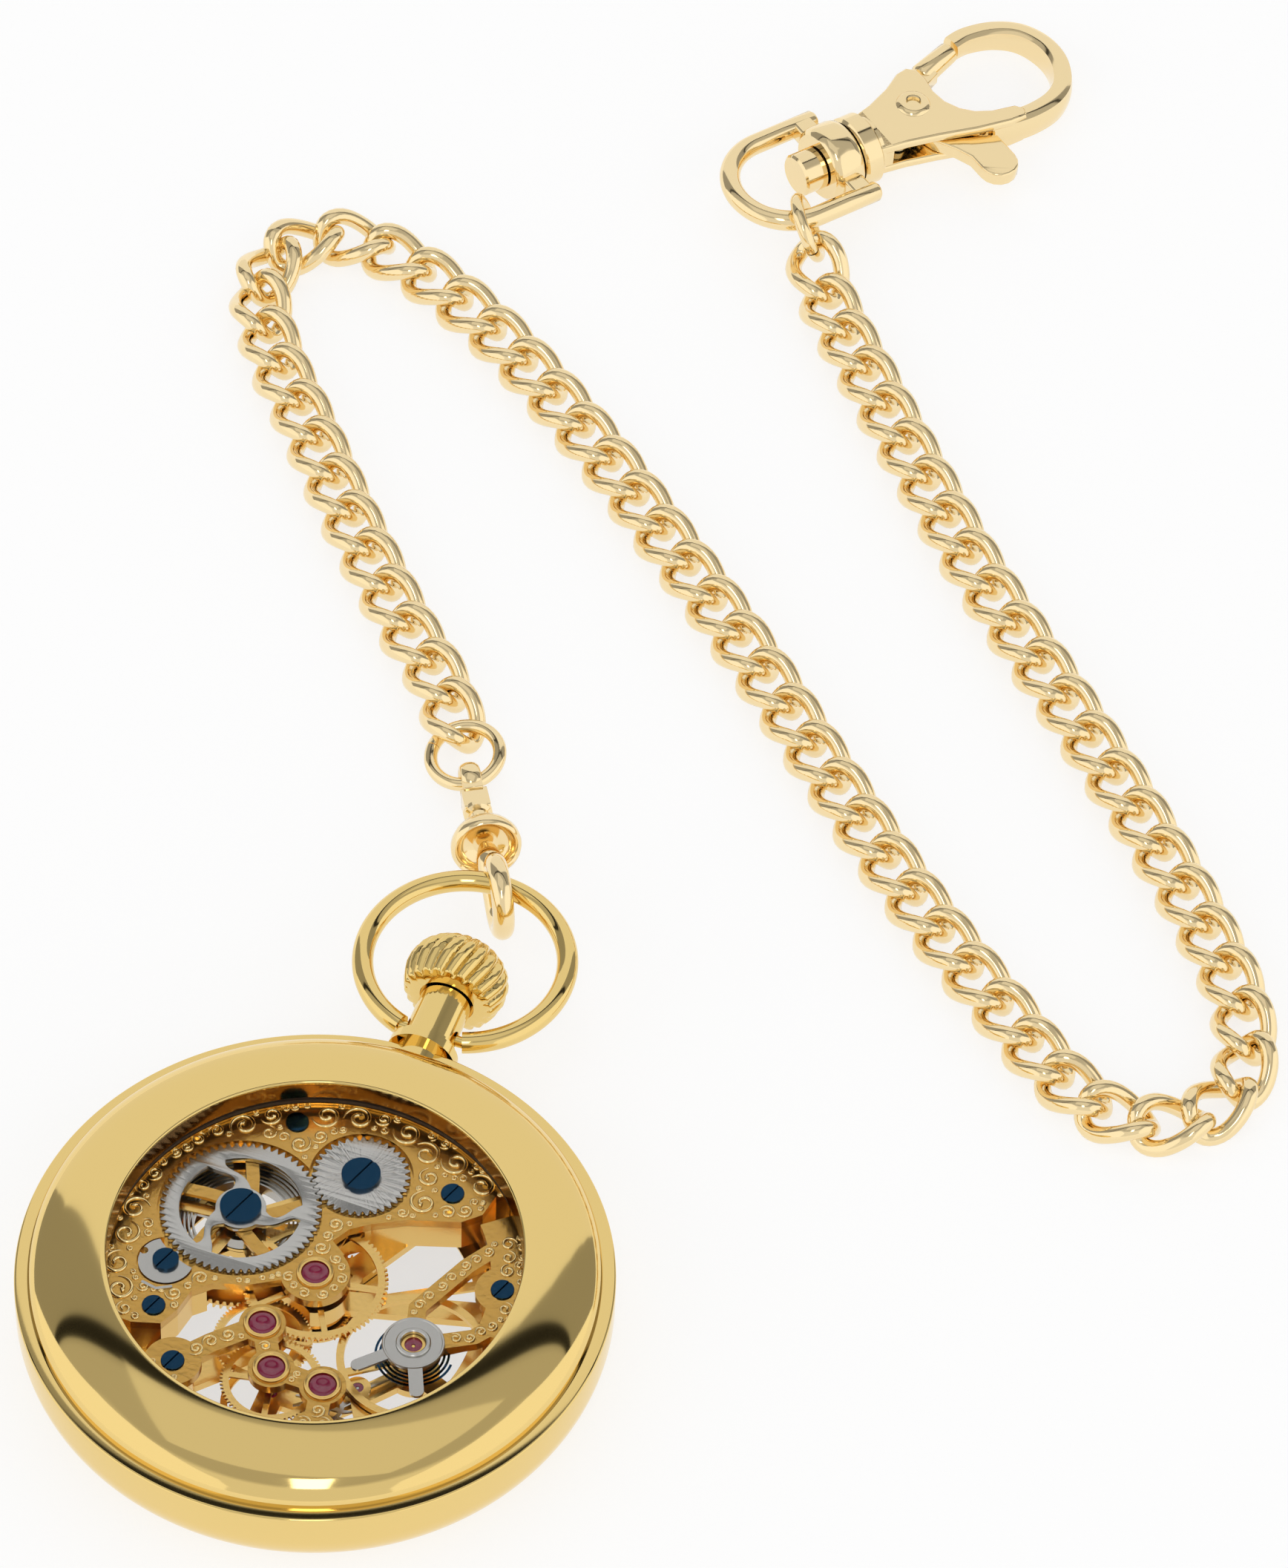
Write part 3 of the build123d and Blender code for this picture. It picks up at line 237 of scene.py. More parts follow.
# ---------------------------------------------------------------- case
def case():
    lip = [(17.2, 9.5), (17.3, 11.2)] + arc(17.48, 11.19, 0.18, 0.18, 180, 95, 6)
    dome = []
    for k in range(61):
        share = 0.325 + 0.675 * math.sin(math.pi / 2 * k / 60)
        dome.append((14.6 + 9.3 * share, 8.05 + 3.444 * (1 - share**2.25) ** (1 / 2.25)))
    under = [(23.9, 8.08), (22.43, 8.08), (22.43, 9.03), (19.5, 9.03), (19.5, 8.72), (18.03, 8.72), (18.03, 9.5)]
    wall = piece("back_bezel_wall", *turned([(17.19, 9.45), (17.285, 11.1)], closed=False), "case_gold", "case", (), 30)
    # the inner wall gets the dark copy of the gold: painted shade
    wall.data.materials[0] = WALL_GOLD_PAINTED_SHADE
    piece("back_bezel_shell", *turned(lip + dome + under), "case_gold", "case", ["back_bezel"], 30)
    band = [(23.9, 8.05), (24.8, 8.03)] + arc(24.8, 7.83, 0.2, 0.2, 90, 0, 5)
    band += arc(20, 5, 5, 5, 0, -36.87, 24)
    band += [(23.93, 2.03), (22.4, 2.0), (22.4, 1.3), (19.5, 1.3), (19.5, 9.0), (22.4, 9.0), (22.4, 8.05)]
    piece("case_band_shell", *turned(band), "case_gold", "case", ["case_band"], 30)
    front = [(23.93, 1.95)] + arc(20, 5, 4.98, 5, -37.6, -90, 24)
    front += [(17.5, 0), (17.33, 0.15), (17.2, 0.9), (18.03, 0.9), (18.03, 1.75), (18.6, 1.75), (18.6, 1.25), (22.43, 1.25), (22.43, 1.95)]
    piece("front_bezel_shell", *turned(front), "case_gold", "case", ["front_bezel"], 30)


def bow():
    radius, centre_y, half = 8.75, 36.3, 18.3
    path = []
    for i in range(181):
        a = math.radians(-90 + half + (360 - 2 * half) * i / 180)
        path.append((radius * math.cos(a), centre_y + radius * math.sin(a), 6.3))
    loop = tube(path, 0.925, 28)
    pivot_y = centre_y - math.sqrt(radius**2 - 2.75**2)
    pins = [tube([(s * 1.5, pivot_y, 6.3), (s * 2.9, pivot_y, 6.3)], 0.5, 20) for s in (-1, 1)]
    piece("bow_ring", *merged(loop, *pins), "case_gold", "bow", ["bow"], 50)


CROWN_START = 31.7


def crown():
    """The fluted onion crown: rounded ribs that lean round it and fade out at both ends."""
    ribs, segments = 22, 396
    outline = [(3.3, 0.0), (3.95, 0.25), (4.15, 0.7), (4.4, 1.4), (4.55, 2.1), (4.52, 2.9), (4.35, 3.6),
               (3.95, 4.3), (3.35, 4.9), (2.5, 5.3), (1.5, 5.5), (0.6, 5.57), (0.01, 5.6)]
    fine = []
    for (r0, y0), (r1, y1) in zip(outline, outline[1:]):
        fine += [(r0 + (r1 - r0) * k / 4, y0 + (y1 - y0) * k / 4) for k in range(4)]
    fine.append(outline[-1])
    verts = []
    for r, y in fine:
        share = y / 5.5
        depth = 0.42 * min(1, share / 0.06) * min(1, max(0, (0.97 - share) / 0.2))
        for j in range(segments):
            a = 2 * math.pi * j / segments
            lobe = abs(math.sin(ribs / 2 * (a + 0.35 * share)))
            rr = max(0.01, r - depth * (1 - lobe**0.7) * min(1, r / 3))
            verts.append((rr * math.cos(a), CROWN_START + y, 6.3 + rr * math.sin(a)))
    faces = grid_faces(len(fine), segments)
    base = len(verts)
    for r, y in ((2.45, 0.0), (2.45, 1.1), (0.6, 1.1)):
        for j in range(segments):
            a = 2 * math.pi * j / segments
            verts.append((r * math.cos(a), CROWN_START + y, 6.3 + r * math.sin(a)))
    for k in range(2):
        faces += grid_faces(2, segments, base=base + k * segments)
    for j in range(segments):
        faces.append((j, (j + 1) % segments, base + (j + 1) % segments, base + j))
    piece("crown_fluted", verts, faces, "case_gold", "crown", ["crown"], 60)


# ---------------------------------------------------------------- chain
CHAIN_ROUTE = (
    (-10.222, 62.824), (-13.8, 67.7), (-19.1, 73.0), (-27.3, 82.1), (-35.4, 91.8), (-41.9, 99.7),
    (-45.0, 105.6), (-44.6, 110.9), (-40.0, 114.1), (-34.2, 113.4), (-24.3, 108.6),
    (-11.4, 99.3), (0.2, 89.5), (11.6, 79.4), (22.6, 68.8), (33.5, 58.8), (44.4, 50.0),
    (51.4, 44.9), (57.3, 43.0), (62.8, 45.0), (65.2, 50.4), (63.2, 57.2), (56.8, 65.6),
    (49.0, 74.1), (37.7, 85.4), (26.2, 96.6), (17.9, 105.7), (9.9, 114.8), (3.6, 122.2),
    (0.580, 126.946),
)


def link_mesh(half_l=3.08, half_w=2.15, wire=0.75, twist=-52, square=2.8):
    path = []
    for i in range(56):
        a = 2 * math.pi * i / 56
        # slow down round the corners so that the points stay even
        t = a - 0.18 * math.sin(4 * a)
        c, s = math.cos(t), math.sin(t)
        x = half_l * math.copysign(abs(c) ** (2 / square), c)
        y = half_w * math.copysign(abs(s) ** (2 / square), s)
        turn = math.radians(twist) * x / half_l
        path.append((x, y * math.cos(turn), y * math.sin(turn)))
    return tube(path, wire, 16, closed=True)


def route_points(count):
    """The chain's line as even steps: (x, y, bearing) at each link's middle."""
    data = bpy.data.curves.new("chain_line", "CURVE")
    data.dimensions = "3D"
    ends = [Vector((*p, 0)) for p in CHAIN_ROUTE]
    fine = []
    for i in range(len(ends) - 1):
        a, b = ends[max(0, i - 1)], ends[i]
        c, d = ends[i + 1], ends[min(len(ends) - 1, i + 2)]
        ta, tb, tc = (b - a).length ** 0.5, (c - b).length ** 0.5, (d - c).length ** 0.5
        for k in range(40):
            fine.append(catmull(a, b, c, d, ta, tb, tc, k / 40))
    fine.append(ends[-1])
    lengths = [0.0]
    for p, q in zip(fine, fine[1:]):
        lengths.append(lengths[-1] + (q - p).length)
    step = lengths[-1] / count

    def at(length):
        low, high = 0, len(lengths) - 1
        while high - low > 1:
            mid = (low + high) // 2
            low, high = (mid, high) if lengths[mid] <= length else (low, mid)
        share = (length - lengths[low]) / max(1e-9, lengths[high] - lengths[low])
        return fine[low].lerp(fine[high], min(1, max(0, share)))

    out = []
    for i in range(count):
        a, b, m = at(i * step), at((i + 1) * step), at((i + 0.5) * step)
        out.append((m.x, m.y, math.atan2(b.y - a.y, b.x - a.x)))
    return out, step


def catmull(a, b, c, d, ta, tb, tc, t):
    """A centripetal Catmull-Rom point between b and c."""
    m1 = (c - b) / tb - (c - a) / (ta + tb) + (b - a) / ta if ta else (c - b) / tb
    m2 = (d - c) / tc - (d - b) / (tb + tc) + (c - b) / tb if tc else (c - b) / tb
    m1, m2 = m1 * tb, m2 * tb
    t2, t3 = t * t, t * t * t
    return b * (2 * t3 - 3 * t2 + 1) + m1 * (t3 - 2 * t2 + t) + c * (3 * t2 - 2 * t3) + m2 * (t3 - t2)


SECTIONS = (8, 13, 12, 14, 10, 8)


def chain():
    height, rise = 1.75, math.radians(11.3)
    places, step = route_points(sum(SECTIONS))
    shape, faces = link_mesh()
    shape = [Vector(v) for v in shape]
    done = 0
    for number, count in enumerate(SECTIONS, 1):
        parts = []
        for i in range(done, done + count):
            x, y, bearing = places[i]
            last = i == sum(SECTIONS) - 1
            lift = step / 2 * math.sin(rise) if last else 0
            place = Matrix.Translation((x, y, height + lift)) @ Matrix.Rotation(bearing, 4, "Z")
            if last:
                place = place @ Matrix.Rotation(-rise, 4, "Y")
            parts.append(([place @ v for v in shape], faces))
        done += count
        piece(f"curb_links_{number}", *merged(*parts), "chain_gold", f"chain_{number}", [f"chain_links_{number}"])


def frame_matrix(centre, bearing, dip, along_z):
    """Row-frame matrix for a local frame in millimetres along a dipping axis."""
    b, d = math.radians(bearing), math.radians(dip)
    along = Vector((math.cos(b) * math.cos(d), math.sin(b) * math.cos(d), -math.sin(d)))
    if along_z:
        x = Vector((math.sin(b), -math.cos(b), 0))
        y, z = along.cross(x), along
    else:
        x, y = along, Vector((-math.sin(b), math.cos(b), 0))
        z = x.cross(y)
    return Matrix((
        (x.x, y.x, z.x, centre[0]), (x.y, y.y, z.y, centre[1]), (x.z, y.z, z.z, centre[2]), (0, 0, 0, 1)
    ))


def placed(matrix, mesh):
    verts, faces = mesh
    return [matrix @ Vector(v) for v in verts], faces


def spline_path(points, steps=10):
    """A smooth line through points."""
    points = [Vector(p) for p in points]
    out = []
    for i in range(len(points) - 1):
        a, b = points[max(0, i - 1)], points[i]
        c, d = points[i + 1], points[min(len(points) - 1, i + 2)]
        for k in range(steps):
            t = k / steps
            out.append(0.5 * (2 * b + (c - a) * t + (2 * a - 5 * b + 4 * c - d) * t * t
                              + (3 * b - a - 3 * c + d) * t**3))
    out.append(points[-1])
    return out


def ring_mesh(matrix, radius, wire, sides=16, steps=72, gap=0.0):
    path = [
        (radius * math.cos(a), radius * math.sin(a), 0)
        for a in (gap / 2 + (2 * math.pi - gap) * i / steps for i in range(steps + (gap > 0)))
    ]
    return placed(matrix, tube(path, wire, sides, closed=gap == 0))


def prism(outline, z0, z1, bevel=0.0, steps=3):
    """A flat piece over an outline, its edges rounded by bevel. The outline runs anticlockwise."""
    count = len(outline)
    points = [Vector(p) for p in outline]
    normals = []
    for i in range(count):
        edge = points[(i + 1) % count] - points[i - 1]
        normals.append(Vector((edge.y, -edge.x)).normalized())
    rows = []
    for k in range(steps + 1):
        a = math.pi / 2 * k / steps
        rows.append((bevel * (1 - math.sin(a)), z0 + bevel * (1 - math.cos(a))))
    rows += [(inset, z0 + z1 - z) for inset, z in reversed(rows)]
    verts = [
        (points[i].x - normals[i].x * inset, points[i].y - normals[i].y * inset, z)
        for inset, z in rows
        for i in range(count)
    ]
    faces = grid_faces(len(rows), count)
    faces.append(tuple(range(count)))
    faces.append(tuple(range((len(rows) - 1) * count, len(rows) * count)))
    return verts, faces


def along_x(mesh):
    """Turns a lathe mesh about Z into one about X."""
    verts, faces = mesh
    return [(v[2], v[0], v[1]) for v in verts], faces


def swivel():
    place = frame_matrix((-3.6, 51.2, 3.6), 118.8, 14, True)
    loop_z, loop_r = -7.75, 2.9
    path = [(0, 0, -0.9), (0, 0, -1.7), (0, 0.05, -2.6), (0, 0.5, -3.7)]
    radii = [0.75, 0.95, 1.15, 1.12]
    for k in range(14):
        a = math.radians(48 + (330 - 48) * k / 13)
        path.append((0, loop_r * math.sin(a), loop_z + loop_r * math.cos(a)))
        radii.append(1.02 - 0.14 * k / 13)
    line = spline_path(path, 6)
    fine = [radii[min(len(radii) - 1, i // 6)] + (radii[min(len(radii) - 1, i // 6 + 1)]
            - radii[min(len(radii) - 1, i // 6)]) * (i % 6) / 6 for i in range(len(line))]
    hook = placed(place, tube(line, fine, 20))
    head = placed(place, turned([(0.01, -0.35), (1.1, -0.35), (1.1, -0.05), (0.01, -0.05)], 40))
    piece("swivel_hook_bent", *merged(hook, head), "chain_gold", "swivel_hook", ["swivel_hook"], 50)
    bowl = [(0.76, 1.15), (1.5, 1.2), (2.2, 0.95), (2.75, 0.45), (3.05, -0.2), (3.1, -0.75), (2.98, -1.15),
            (2.8, -1.25), (2.62, -1.1), (2.5, -0.5), (2.2, 0.05), (1.6, 0.4), (0.76, 0.5)]
    piece("swivel_cup_bowl", *placed(place, turned(bowl, 96)), "chain_gold", "swivel_cup", ["swivel_cup"], 50)
    stem = [(0.01, 0.6), (0.72, 0.6), (0.72, 1.3), (1.15, 1.35), (1.3, 1.6), (1.15, 1.85), (0.95, 2.0),
            (0.92, 3.6), (1.25, 3.8), (1.3, 4.2), (0.01, 4.2)]
    block = prism([(-1.15, -1.0), (1.15, -1.0), (1.15, 1.0), (-1.15, 1.0)], 3.9, 6.6, 0.25)
    ring_profile = arc(1.4, 0, 0.5, 0.9, 0, 360, 20)[:-1]
    torus = turned(ring_profile, 64)
    torus = ([(v[2], v[1], v[0] + 8.4) for v in torus[0]], torus[1])
    neck = prism([(-0.85, -1.2), (0.85, -1.2), (0.85, 1.2), (-0.85, 1.2)], 6.3, 7.4, 0.2)
    piece("swivel_eye_forged", *placed(place, merged(turned(stem, 40), block, torus, neck)), "chain_gold",
          "swivel_eye", ["swivel_eye"], 40)
    eye_at = place @ Vector((0, 0, 8.4))
    b, rise, roll = math.radians(118.9), math.radians(3.9), math.radians(9.1)
    out = Vector((math.cos(b) * math.cos(rise), math.sin(b) * math.cos(rise), math.sin(rise)))
    level = Vector((math.sin(b), -math.cos(b), 0))
    level = level * math.cos(roll) + level.cross(out) * math.sin(roll)
    up = level.cross(out)
    c = eye_at + out * 3.05
    flat = Matrix((
        (level.x, out.x, up.x, c.x), (level.y, out.y, up.y, c.y), (level.z, out.z, up.z, c.z), (0, 0, 0, 1)
    ))
    piece("jump_ring_near_wire", *ring_mesh(flat @ Matrix.Rotation(2.6, 4, "Z"), 3.05, 0.6, gap=0.03),
          "chain_gold", "swivel_eye", ["jump_ring_near"], 60)


def clasp():
    place = frame_matrix((-1.0, 136.9, 3.75), 52.9, 4, False)
    side, back, wire = 5.2, -5.0, 0.95
    path = [(1.6, side, 0), (1.3, side, 0), (-2, side, 0)]
    path += [(back + side * math.cos(a), side * math.sin(a), 0)
             for a in (math.radians(90 + 180 * k / 40) for k in range(41))]
    path += [(-2, -side, 0), (1.3, -side, 0), (1.6, -side, 0)]
    radii = [wire * 0.75] + [wire] * (len(path) - 2) + [wire * 0.75]
    bail = tube(path, radii, 24)
    block = [(1.48, -1.6), (3.1, -1.6), (3.5, -1.25), (3.6, -0.8), (3.6, 0.8), (3.5, 1.25), (3.1, 1.6), (1.48, 1.6)]
    lug = [(-1.0, -side), (1.0, -side), (1.0, side), (-1.0, side)]
    lugs = prism(lug, -0.9, 0.9, 0.3)
    piece("clasp_bail_wire", *placed(place, merged(bail, along_x(turned(block, 72)), lugs)), "chain_gold",
          "clasp_bail", ["clasp_bail"], 40)
    post = [(0.01, -4.0), (1.8, -4.0), (2.0, -3.8), (2.0, -1.75), (1.42, -1.75), (1.42, 1.75), (3.1, 1.75),
            (3.4, 2.0), (3.4, 3.5), (3.1, 3.75), (2.7, 3.8), (2.7, 4.3), (0.01, 4.3)]
    plate = [(3.7, -2.4), (6.5, -2.9), (9.5, -3.6), (13.0, -4.6), (16.4, -5.3), (18.0, -5.3), (18.4, -4.4),
             (17.8, -3.6), (15.6, -3.1), (14.2, -2.4), (13.2, -1.4), (12.5, 0.0), (12.3, 1.6), (12.6, 3.3),
             (12.5, 4.6), (11.7, 5.3), (10.5, 5.1), (8.6, 4.0), (6.0, 3.0), (3.7, 2.4)]
    plates = [prism(plate, 0.82, 1.75, 0.35), prism(plate, -1.75, -0.82, 0.35)]
    spine = [(3.7, -2.3), (5.2, -2.5), (5.2, 2.6), (3.7, 2.3)]
    root = [(13.4, -4.4), (18.2, -5.0), (18.0, -3.8), (15.6, -3.2), (14.2, -2.5)]
    band_line = spline_path([(14.8, -4.0, 0), (17.0, -4.5, 0), (19.4, -4.65, 0), (21.9, -4.2, 0), (23.8, -2.9, 0),
                             (25.1, -0.4, 0), (25.2, 2.2, 0), (24.2, 4.6, 0), (22.2, 6.1, 0), (19.7, 6.75, 0),
                             (17.9, 6.6, 0)], 8)
    band = tube(band_line, 1.0, 24, flat=Vector((0, 0, 1)))
    verts = []
    for index, v in enumerate(band[0]):
        ring = index // 24
        fade = 1 - 0.35 * max(0, ring / len(band_line) - 0.6) / 0.4
        a = 2 * math.pi * (index % 24) / 24
        squared = 1 / max(abs(math.cos(a)), abs(math.sin(a))) ** 0.45
        centre = band_line[ring]
        offset = (Vector(v) - centre) * squared
        verts.append(centre + Vector((offset.x, offset.y, offset.z * 1.5 * fade)))
    piece("clasp_body_cast", *placed(place, merged(along_x(turned(post, 72)), *plates, prism(spine, -1.75, 1.75, 0.3),
          prism(root, -1.6, 1.6, 0.2), (verts, band[1]))), "chain_gold", "clasp_body", ["clasp_body"], 35)
    eyelet = [(0.62, 1.6), (0.7, 2.0), (1.0, 2.12), (1.4, 2.02), (1.6, 1.76), (0.9, 1.76), (0.9, -1.76),
              (1.6, -1.76), (1.4, -2.02), (1.0, -2.12), (0.7, -2.0), (0.62, -1.6)]
    at = Matrix.Translation((9.6, 1.0, 0))
    piece("clasp_eyelet", *placed(place @ at, turned(eyelet, 48)), "chain_gold", "clasp_body", ["clasp_rivet"], 50)
    gate_plate = [(8.4, -0.2), (9.3, -3.0), (10.5, -4.9), (11.15, -6.4), (11.15, -8.1)]
    for k in range(9):
        a = math.radians(180 + 180 * k / 8)
        gate_plate.append((13.0 + 1.85 * math.cos(a), -8.1 + 1.85 * math.sin(a)))
    gate_plate += [(14.85, -5.3), (13.5, -4.45), (12.5, -3.4), (11.7, -1.0), (11.4, 0.6), (13.0, 3.3),
                   (14.6, 4.0), (14.4, 5.6), (12.6, 5.3), (9.4, 2.6), (8.2, 1.6)]
    lever = prism(gate_plate, -0.72, 0.72, 0.2)
    bar = tube([(13.2, 4.9, 0), (13.5, 5.0, 0), (17.3, 6.25, 0), (17.5, 6.3, 0)], [0.9, 1.15, 1.05, 0.85], 24)
    piece("clasp_gate_lever", *placed(place, merged(lever, bar)), "chain_gold", "clasp_gate", ["clasp_gate"], 40)
    n = Vector((0.823, 0.436, 0.363)).normalized()
    u = Vector((0.468, -0.884, 0)).normalized()
    v = n.cross(u)
    c = (-0.4, 128.322, 3.757)
    flat = Matrix(((u.x, v.x, n.x, c[0]), (u.y, v.y, n.y, c[1]), (u.z, v.z, n.z, c[2]), (0, 0, 0, 1)))
    piece("jump_ring_far_wire", *ring_mesh(flat, 2.75, 0.6, gap=0.03), "chain_gold", "chain_6", ["jump_ring_far"], 60)


# ---------------------------------------------------------------- movement
BARREL = (-8.2, 4.15)
CROWN_WHEEL = (0.08, 10.7)
CLICK = (-12.1, -3.1)
THIRD = (-2.3, -6.3)
FOURTH = (0.0, -10.3)
ESCAPE = (4.6, -10.5)
BALANCE = (10.2, -4.1)
SCREWS = ((-6.9, 14.1), (7.9, 11.6), (-11.4, -7.7), (-7.9, -12.4), (15.2, 3.7))
BRIDGE_EDGE = (
    (-16.0, -9.6), (-12.6, -9.9), (-10.2, -9.2), (-9.4, -7.4), (-9.0, -5.2), (-7.6, -3.9),
    (-4.7, -3.0), (-2.4, -1.6), (0.0, 0.0), (1.6, 2.6), (0.2, 3.6), (1.1, 5.2), (2.6, 6.3),
    (5.2, 7.7), (9.6, 9.1), (11.0, 10.4), (11.4, 12.6),
)
BRIDGE_TOP = 8.0
COCK_BARS = (
    ((13.3, 7.7), (11.6, 5.0), 1.5), ((11.6, 5.0), (9.2, -0.4), 1.5), ((9.2, -0.4), BALANCE, 1.5),
    ((16.2, 0.6), (14.6, -1.6), 1.5), ((14.6, -1.6), BALANCE, 1.5), ((14.6, 8.4), (16.6, 1.6), 2.6),
)
TRAIN_BARS = (
    (SCREWS[3], (-5.6, -9.6), 1.9), ((-5.6, -9.6), THIRD, 1.9), (THIRD, FOURTH, 1.9), (FOURTH, ESCAPE, 1.9),
    (ESCAPE, (5.4, -15.0), 1.9), (SCREWS[3], (-8.75, -14.6), 3.2), ((5.4, -15.0), (5.4, -15.01), 3.8),
)


def segment_gap(x, y, a, b):
    """Distance from (x, y) to the segment a to b."""
    dx, dy = b[0] - a[0], b[1] - a[1]
    t = max(0, min(1, ((x - a[0]) * dx + (y - a[1]) * dy) / (dx * dx + dy * dy)))
    return math.hypot(x - a[0] - t * dx, y - a[1] - t * dy)


def barrel_bridge_room(x, y):
    """Free room round a point of the barrel bridge's top, clear of its recesses and screws."""
    corners = list(BRIDGE_EDGE) + [(13.4, 14.8), (20, 24), (-24, 24), (-24, -9.6)]
    inside = False
    for (ax, ay), (bx, by) in zip(corners, corners[1:] + corners[:1]):
        if (ay > y) != (by > y) and x < ax + (y - ay) * (bx - ax) / (by - ay):
            inside = not inside
    edge = min(segment_gap(x, y, a, b) for a, b in zip(BRIDGE_EDGE, BRIDGE_EDGE[1:]))
    room = max(edge if inside else -edge, 2.9 - math.hypot(x, y))
    room = min(room, 17.9 - math.hypot(x, y), math.hypot(x, y) - 1.6)
    for at, radius in ((BARREL, 7.1), (CROWN_WHEEL, 4.5), (CLICK, 2.55)):
        room = min(room, math.dist((x, y), at) - radius)
    return min(room, min(math.dist((x, y), at) - 1.1 for at in SCREWS[:3]))


def bars_room(bars, holes):
    def room(x, y):
        free = max(width / 2 - segment_gap(x, y, a, b) for a, b, width in bars)
        free = min(free, 17.9 - math.hypot(x, y))
        return min(free, min(math.dist((x, y), at) - radius for at, radius in holes))
    return room


def curl(x, y, radius, start, turn, z):
    """One raised scroll: a wire winding inwards to a bead."""
    path, radii, steps = [], [], 36
    wire = 0.085 + 0.075 * radius
    for k in range(steps + 1):
        t = k / steps
        r = radius * (1 - 0.8 * t**0.85)
        a = start + turn * 2 * math.pi * 1.4 * t
        path.append((x + r * math.cos(a), y + r * math.sin(a), z))
        radii.append(wire * (0.35 + 0.65 * min(1, t / 0.15)) * (1.5 if t > 0.93 else 1))
    return tube(path, radii, 7, flat=Vector((0, 0, 1)))


def relief(name, room, body, sizes, step=0.22):
    """Raised scrollwork packed into a bridge's free surface. Each curl springs from its neighbour."""
    curls = []
    for size in sizes:
        for i in range(int(36 / step)):
            for j in range(int(36 / step)):
                x, y = -18 + i * step, 18 - j * step
                if room(x, y) < size + 0.1:
                    continue
                near = min(curls, key=lambda c: math.dist((x, y), c[:2]) - c[2], default=None)
                if near is None:
                    curls.append((x, y, size, 1, 0.5))
                elif math.dist((x, y), near[:2]) >= 0.98 * size + near[2]:
                    start = math.atan2(near[1] - y, near[0] - x)
                    curls.append((x, y, size, -near[3], start))
    parts = [curl(x, y, size, start, turn, BRIDGE_TOP + 0.01) for x, y, size, turn, start in curls]
    obj = piece(name, *merged(*parts), "movement_gold", body, (), 80)
    # the scrolls get the lighter copy of the gold: painted highlight
    obj.data.materials[0] = RELIEF_GOLD_PAINTED_HIGHLIGHT


def plate_piece(name, loops, z0, z1, bevel, slot, body, hides=(), at=(0, 0)):
    """A flat piece cut from sheet: the first loop is its outline, the others its windows."""
    data = bpy.data.curves.new(name, "CURVE")
    data.dimensions = "2D"
    data.fill_mode = "BOTH"
    data.extrude = (z1 - z0) / 2 - bevel
    data.bevel_depth = bevel
    data.bevel_resolution = 1
    data.offset = -bevel
    for loop in loops:
        spline = data.splines.new("POLY")
        spline.points.add(len(loop) - 1)
        spline.use_cyclic_u = True
        for point, (x, y) in zip(spline.points, loop):
            point.co = (x, y, 0, 1)
    shape = bpy.data.objects.new(name + "_outline", data)
    scene.collection.objects.link(shape)
    flat = bpy.data.meshes.new_from_object(shape.evaluated_get(bpy.context.evaluated_depsgraph_get()))
    verts = [(v.co.x + at[0], v.co.y + at[1], v.co.z + (z0 + z1) / 2) for v in flat.vertices]
    faces = [tuple(f.vertices) for f in flat.polygons]
    bpy.data.objects.remove(shape)
    bpy.data.meshes.remove(flat)
    return piece(name, verts, faces, slot, body, hides, 30)


def circle(radius, steps=96, centre=(0, 0)):
    return [
        (centre[0] + radius * math.cos(2 * math.pi * k / steps), centre[1] + radius * math.sin(2 * math.pi * k / steps))
        for k in range(steps)
    ]


def chaton(at, z, ruby_r=1.17, cup_r=1.55):
    """A bright conical gold setting and its domed ruby, as two meshes."""
    cup = [(ruby_r, z - 0.15), (ruby_r + 0.02, z + 0.02), (cup_r - 0.12, z + 0.22), (cup_r - 0.02, z + 0.23),
           (cup_r + 0.03, z + 0.16), (cup_r + 0.03, z - 0.15)]
    stone = [(0.01, z - 0.02), (0.3, z + 0.0), (0.42, z + 0.04), (0.7, z + 0.1), (ruby_r - 0.12, z + 0.07),
             (ruby_r, z - 0.02), (ruby_r, z - 0.5), (0.01, z - 0.5)]
    move = Matrix.Translation((at[0], at[1], 0))
    return placed(move, turned(cup, 48)), placed(move, turned(stone, 48))


def toothed(teeth, module, phase=0.0):
    """A wheel's outline with rounded-off straight teeth."""
    pitch_r = teeth * module / 2
    tip, root = pitch_r + 0.85 * module, pitch_r - 1.15 * module
    outline = []
    for i in range(teeth):
        for share, r in ((-0.42, root), (-0.24, pitch_r), (-0.13, tip), (0.13, tip), (0.24, pitch_r), (0.42, root)):
            a = 2 * math.pi * (i + share + phase) / teeth
            outline.append((r * math.cos(a), r * math.sin(a)))
    return outline


def swirl_window(inner, outer, start, end, lean, width, steps=14):
    """An opening between two S-curved spokes."""
    def spoke(angle, side):
        points = []
        for k in range(steps + 1):
            t = k / steps
            r = inner + (outer - inner) * t
            sway = lean * (t - 0.16 * math.sin(2 * math.pi * t))
            half = width * (0.5 + 0.5 * abs(2 * t - 1) ** 2.2) / r
            points.append((r, math.radians(angle + sway) + side * half))
        return points
    first, second = spoke(start, 1), spoke(end, -1)
    rim = [(outer, first[-1][1] + (second[-1][1] - first[-1][1]) * k / 12) for k in range(1, 12)]
    hub = [(inner, second[0][1] + (first[0][1] - second[0][1]) * k / 6) for k in range(1, 6)]
    return [(r * math.cos(a), r * math.sin(a)) for r, a in first + rim + second[::-1] + hub]


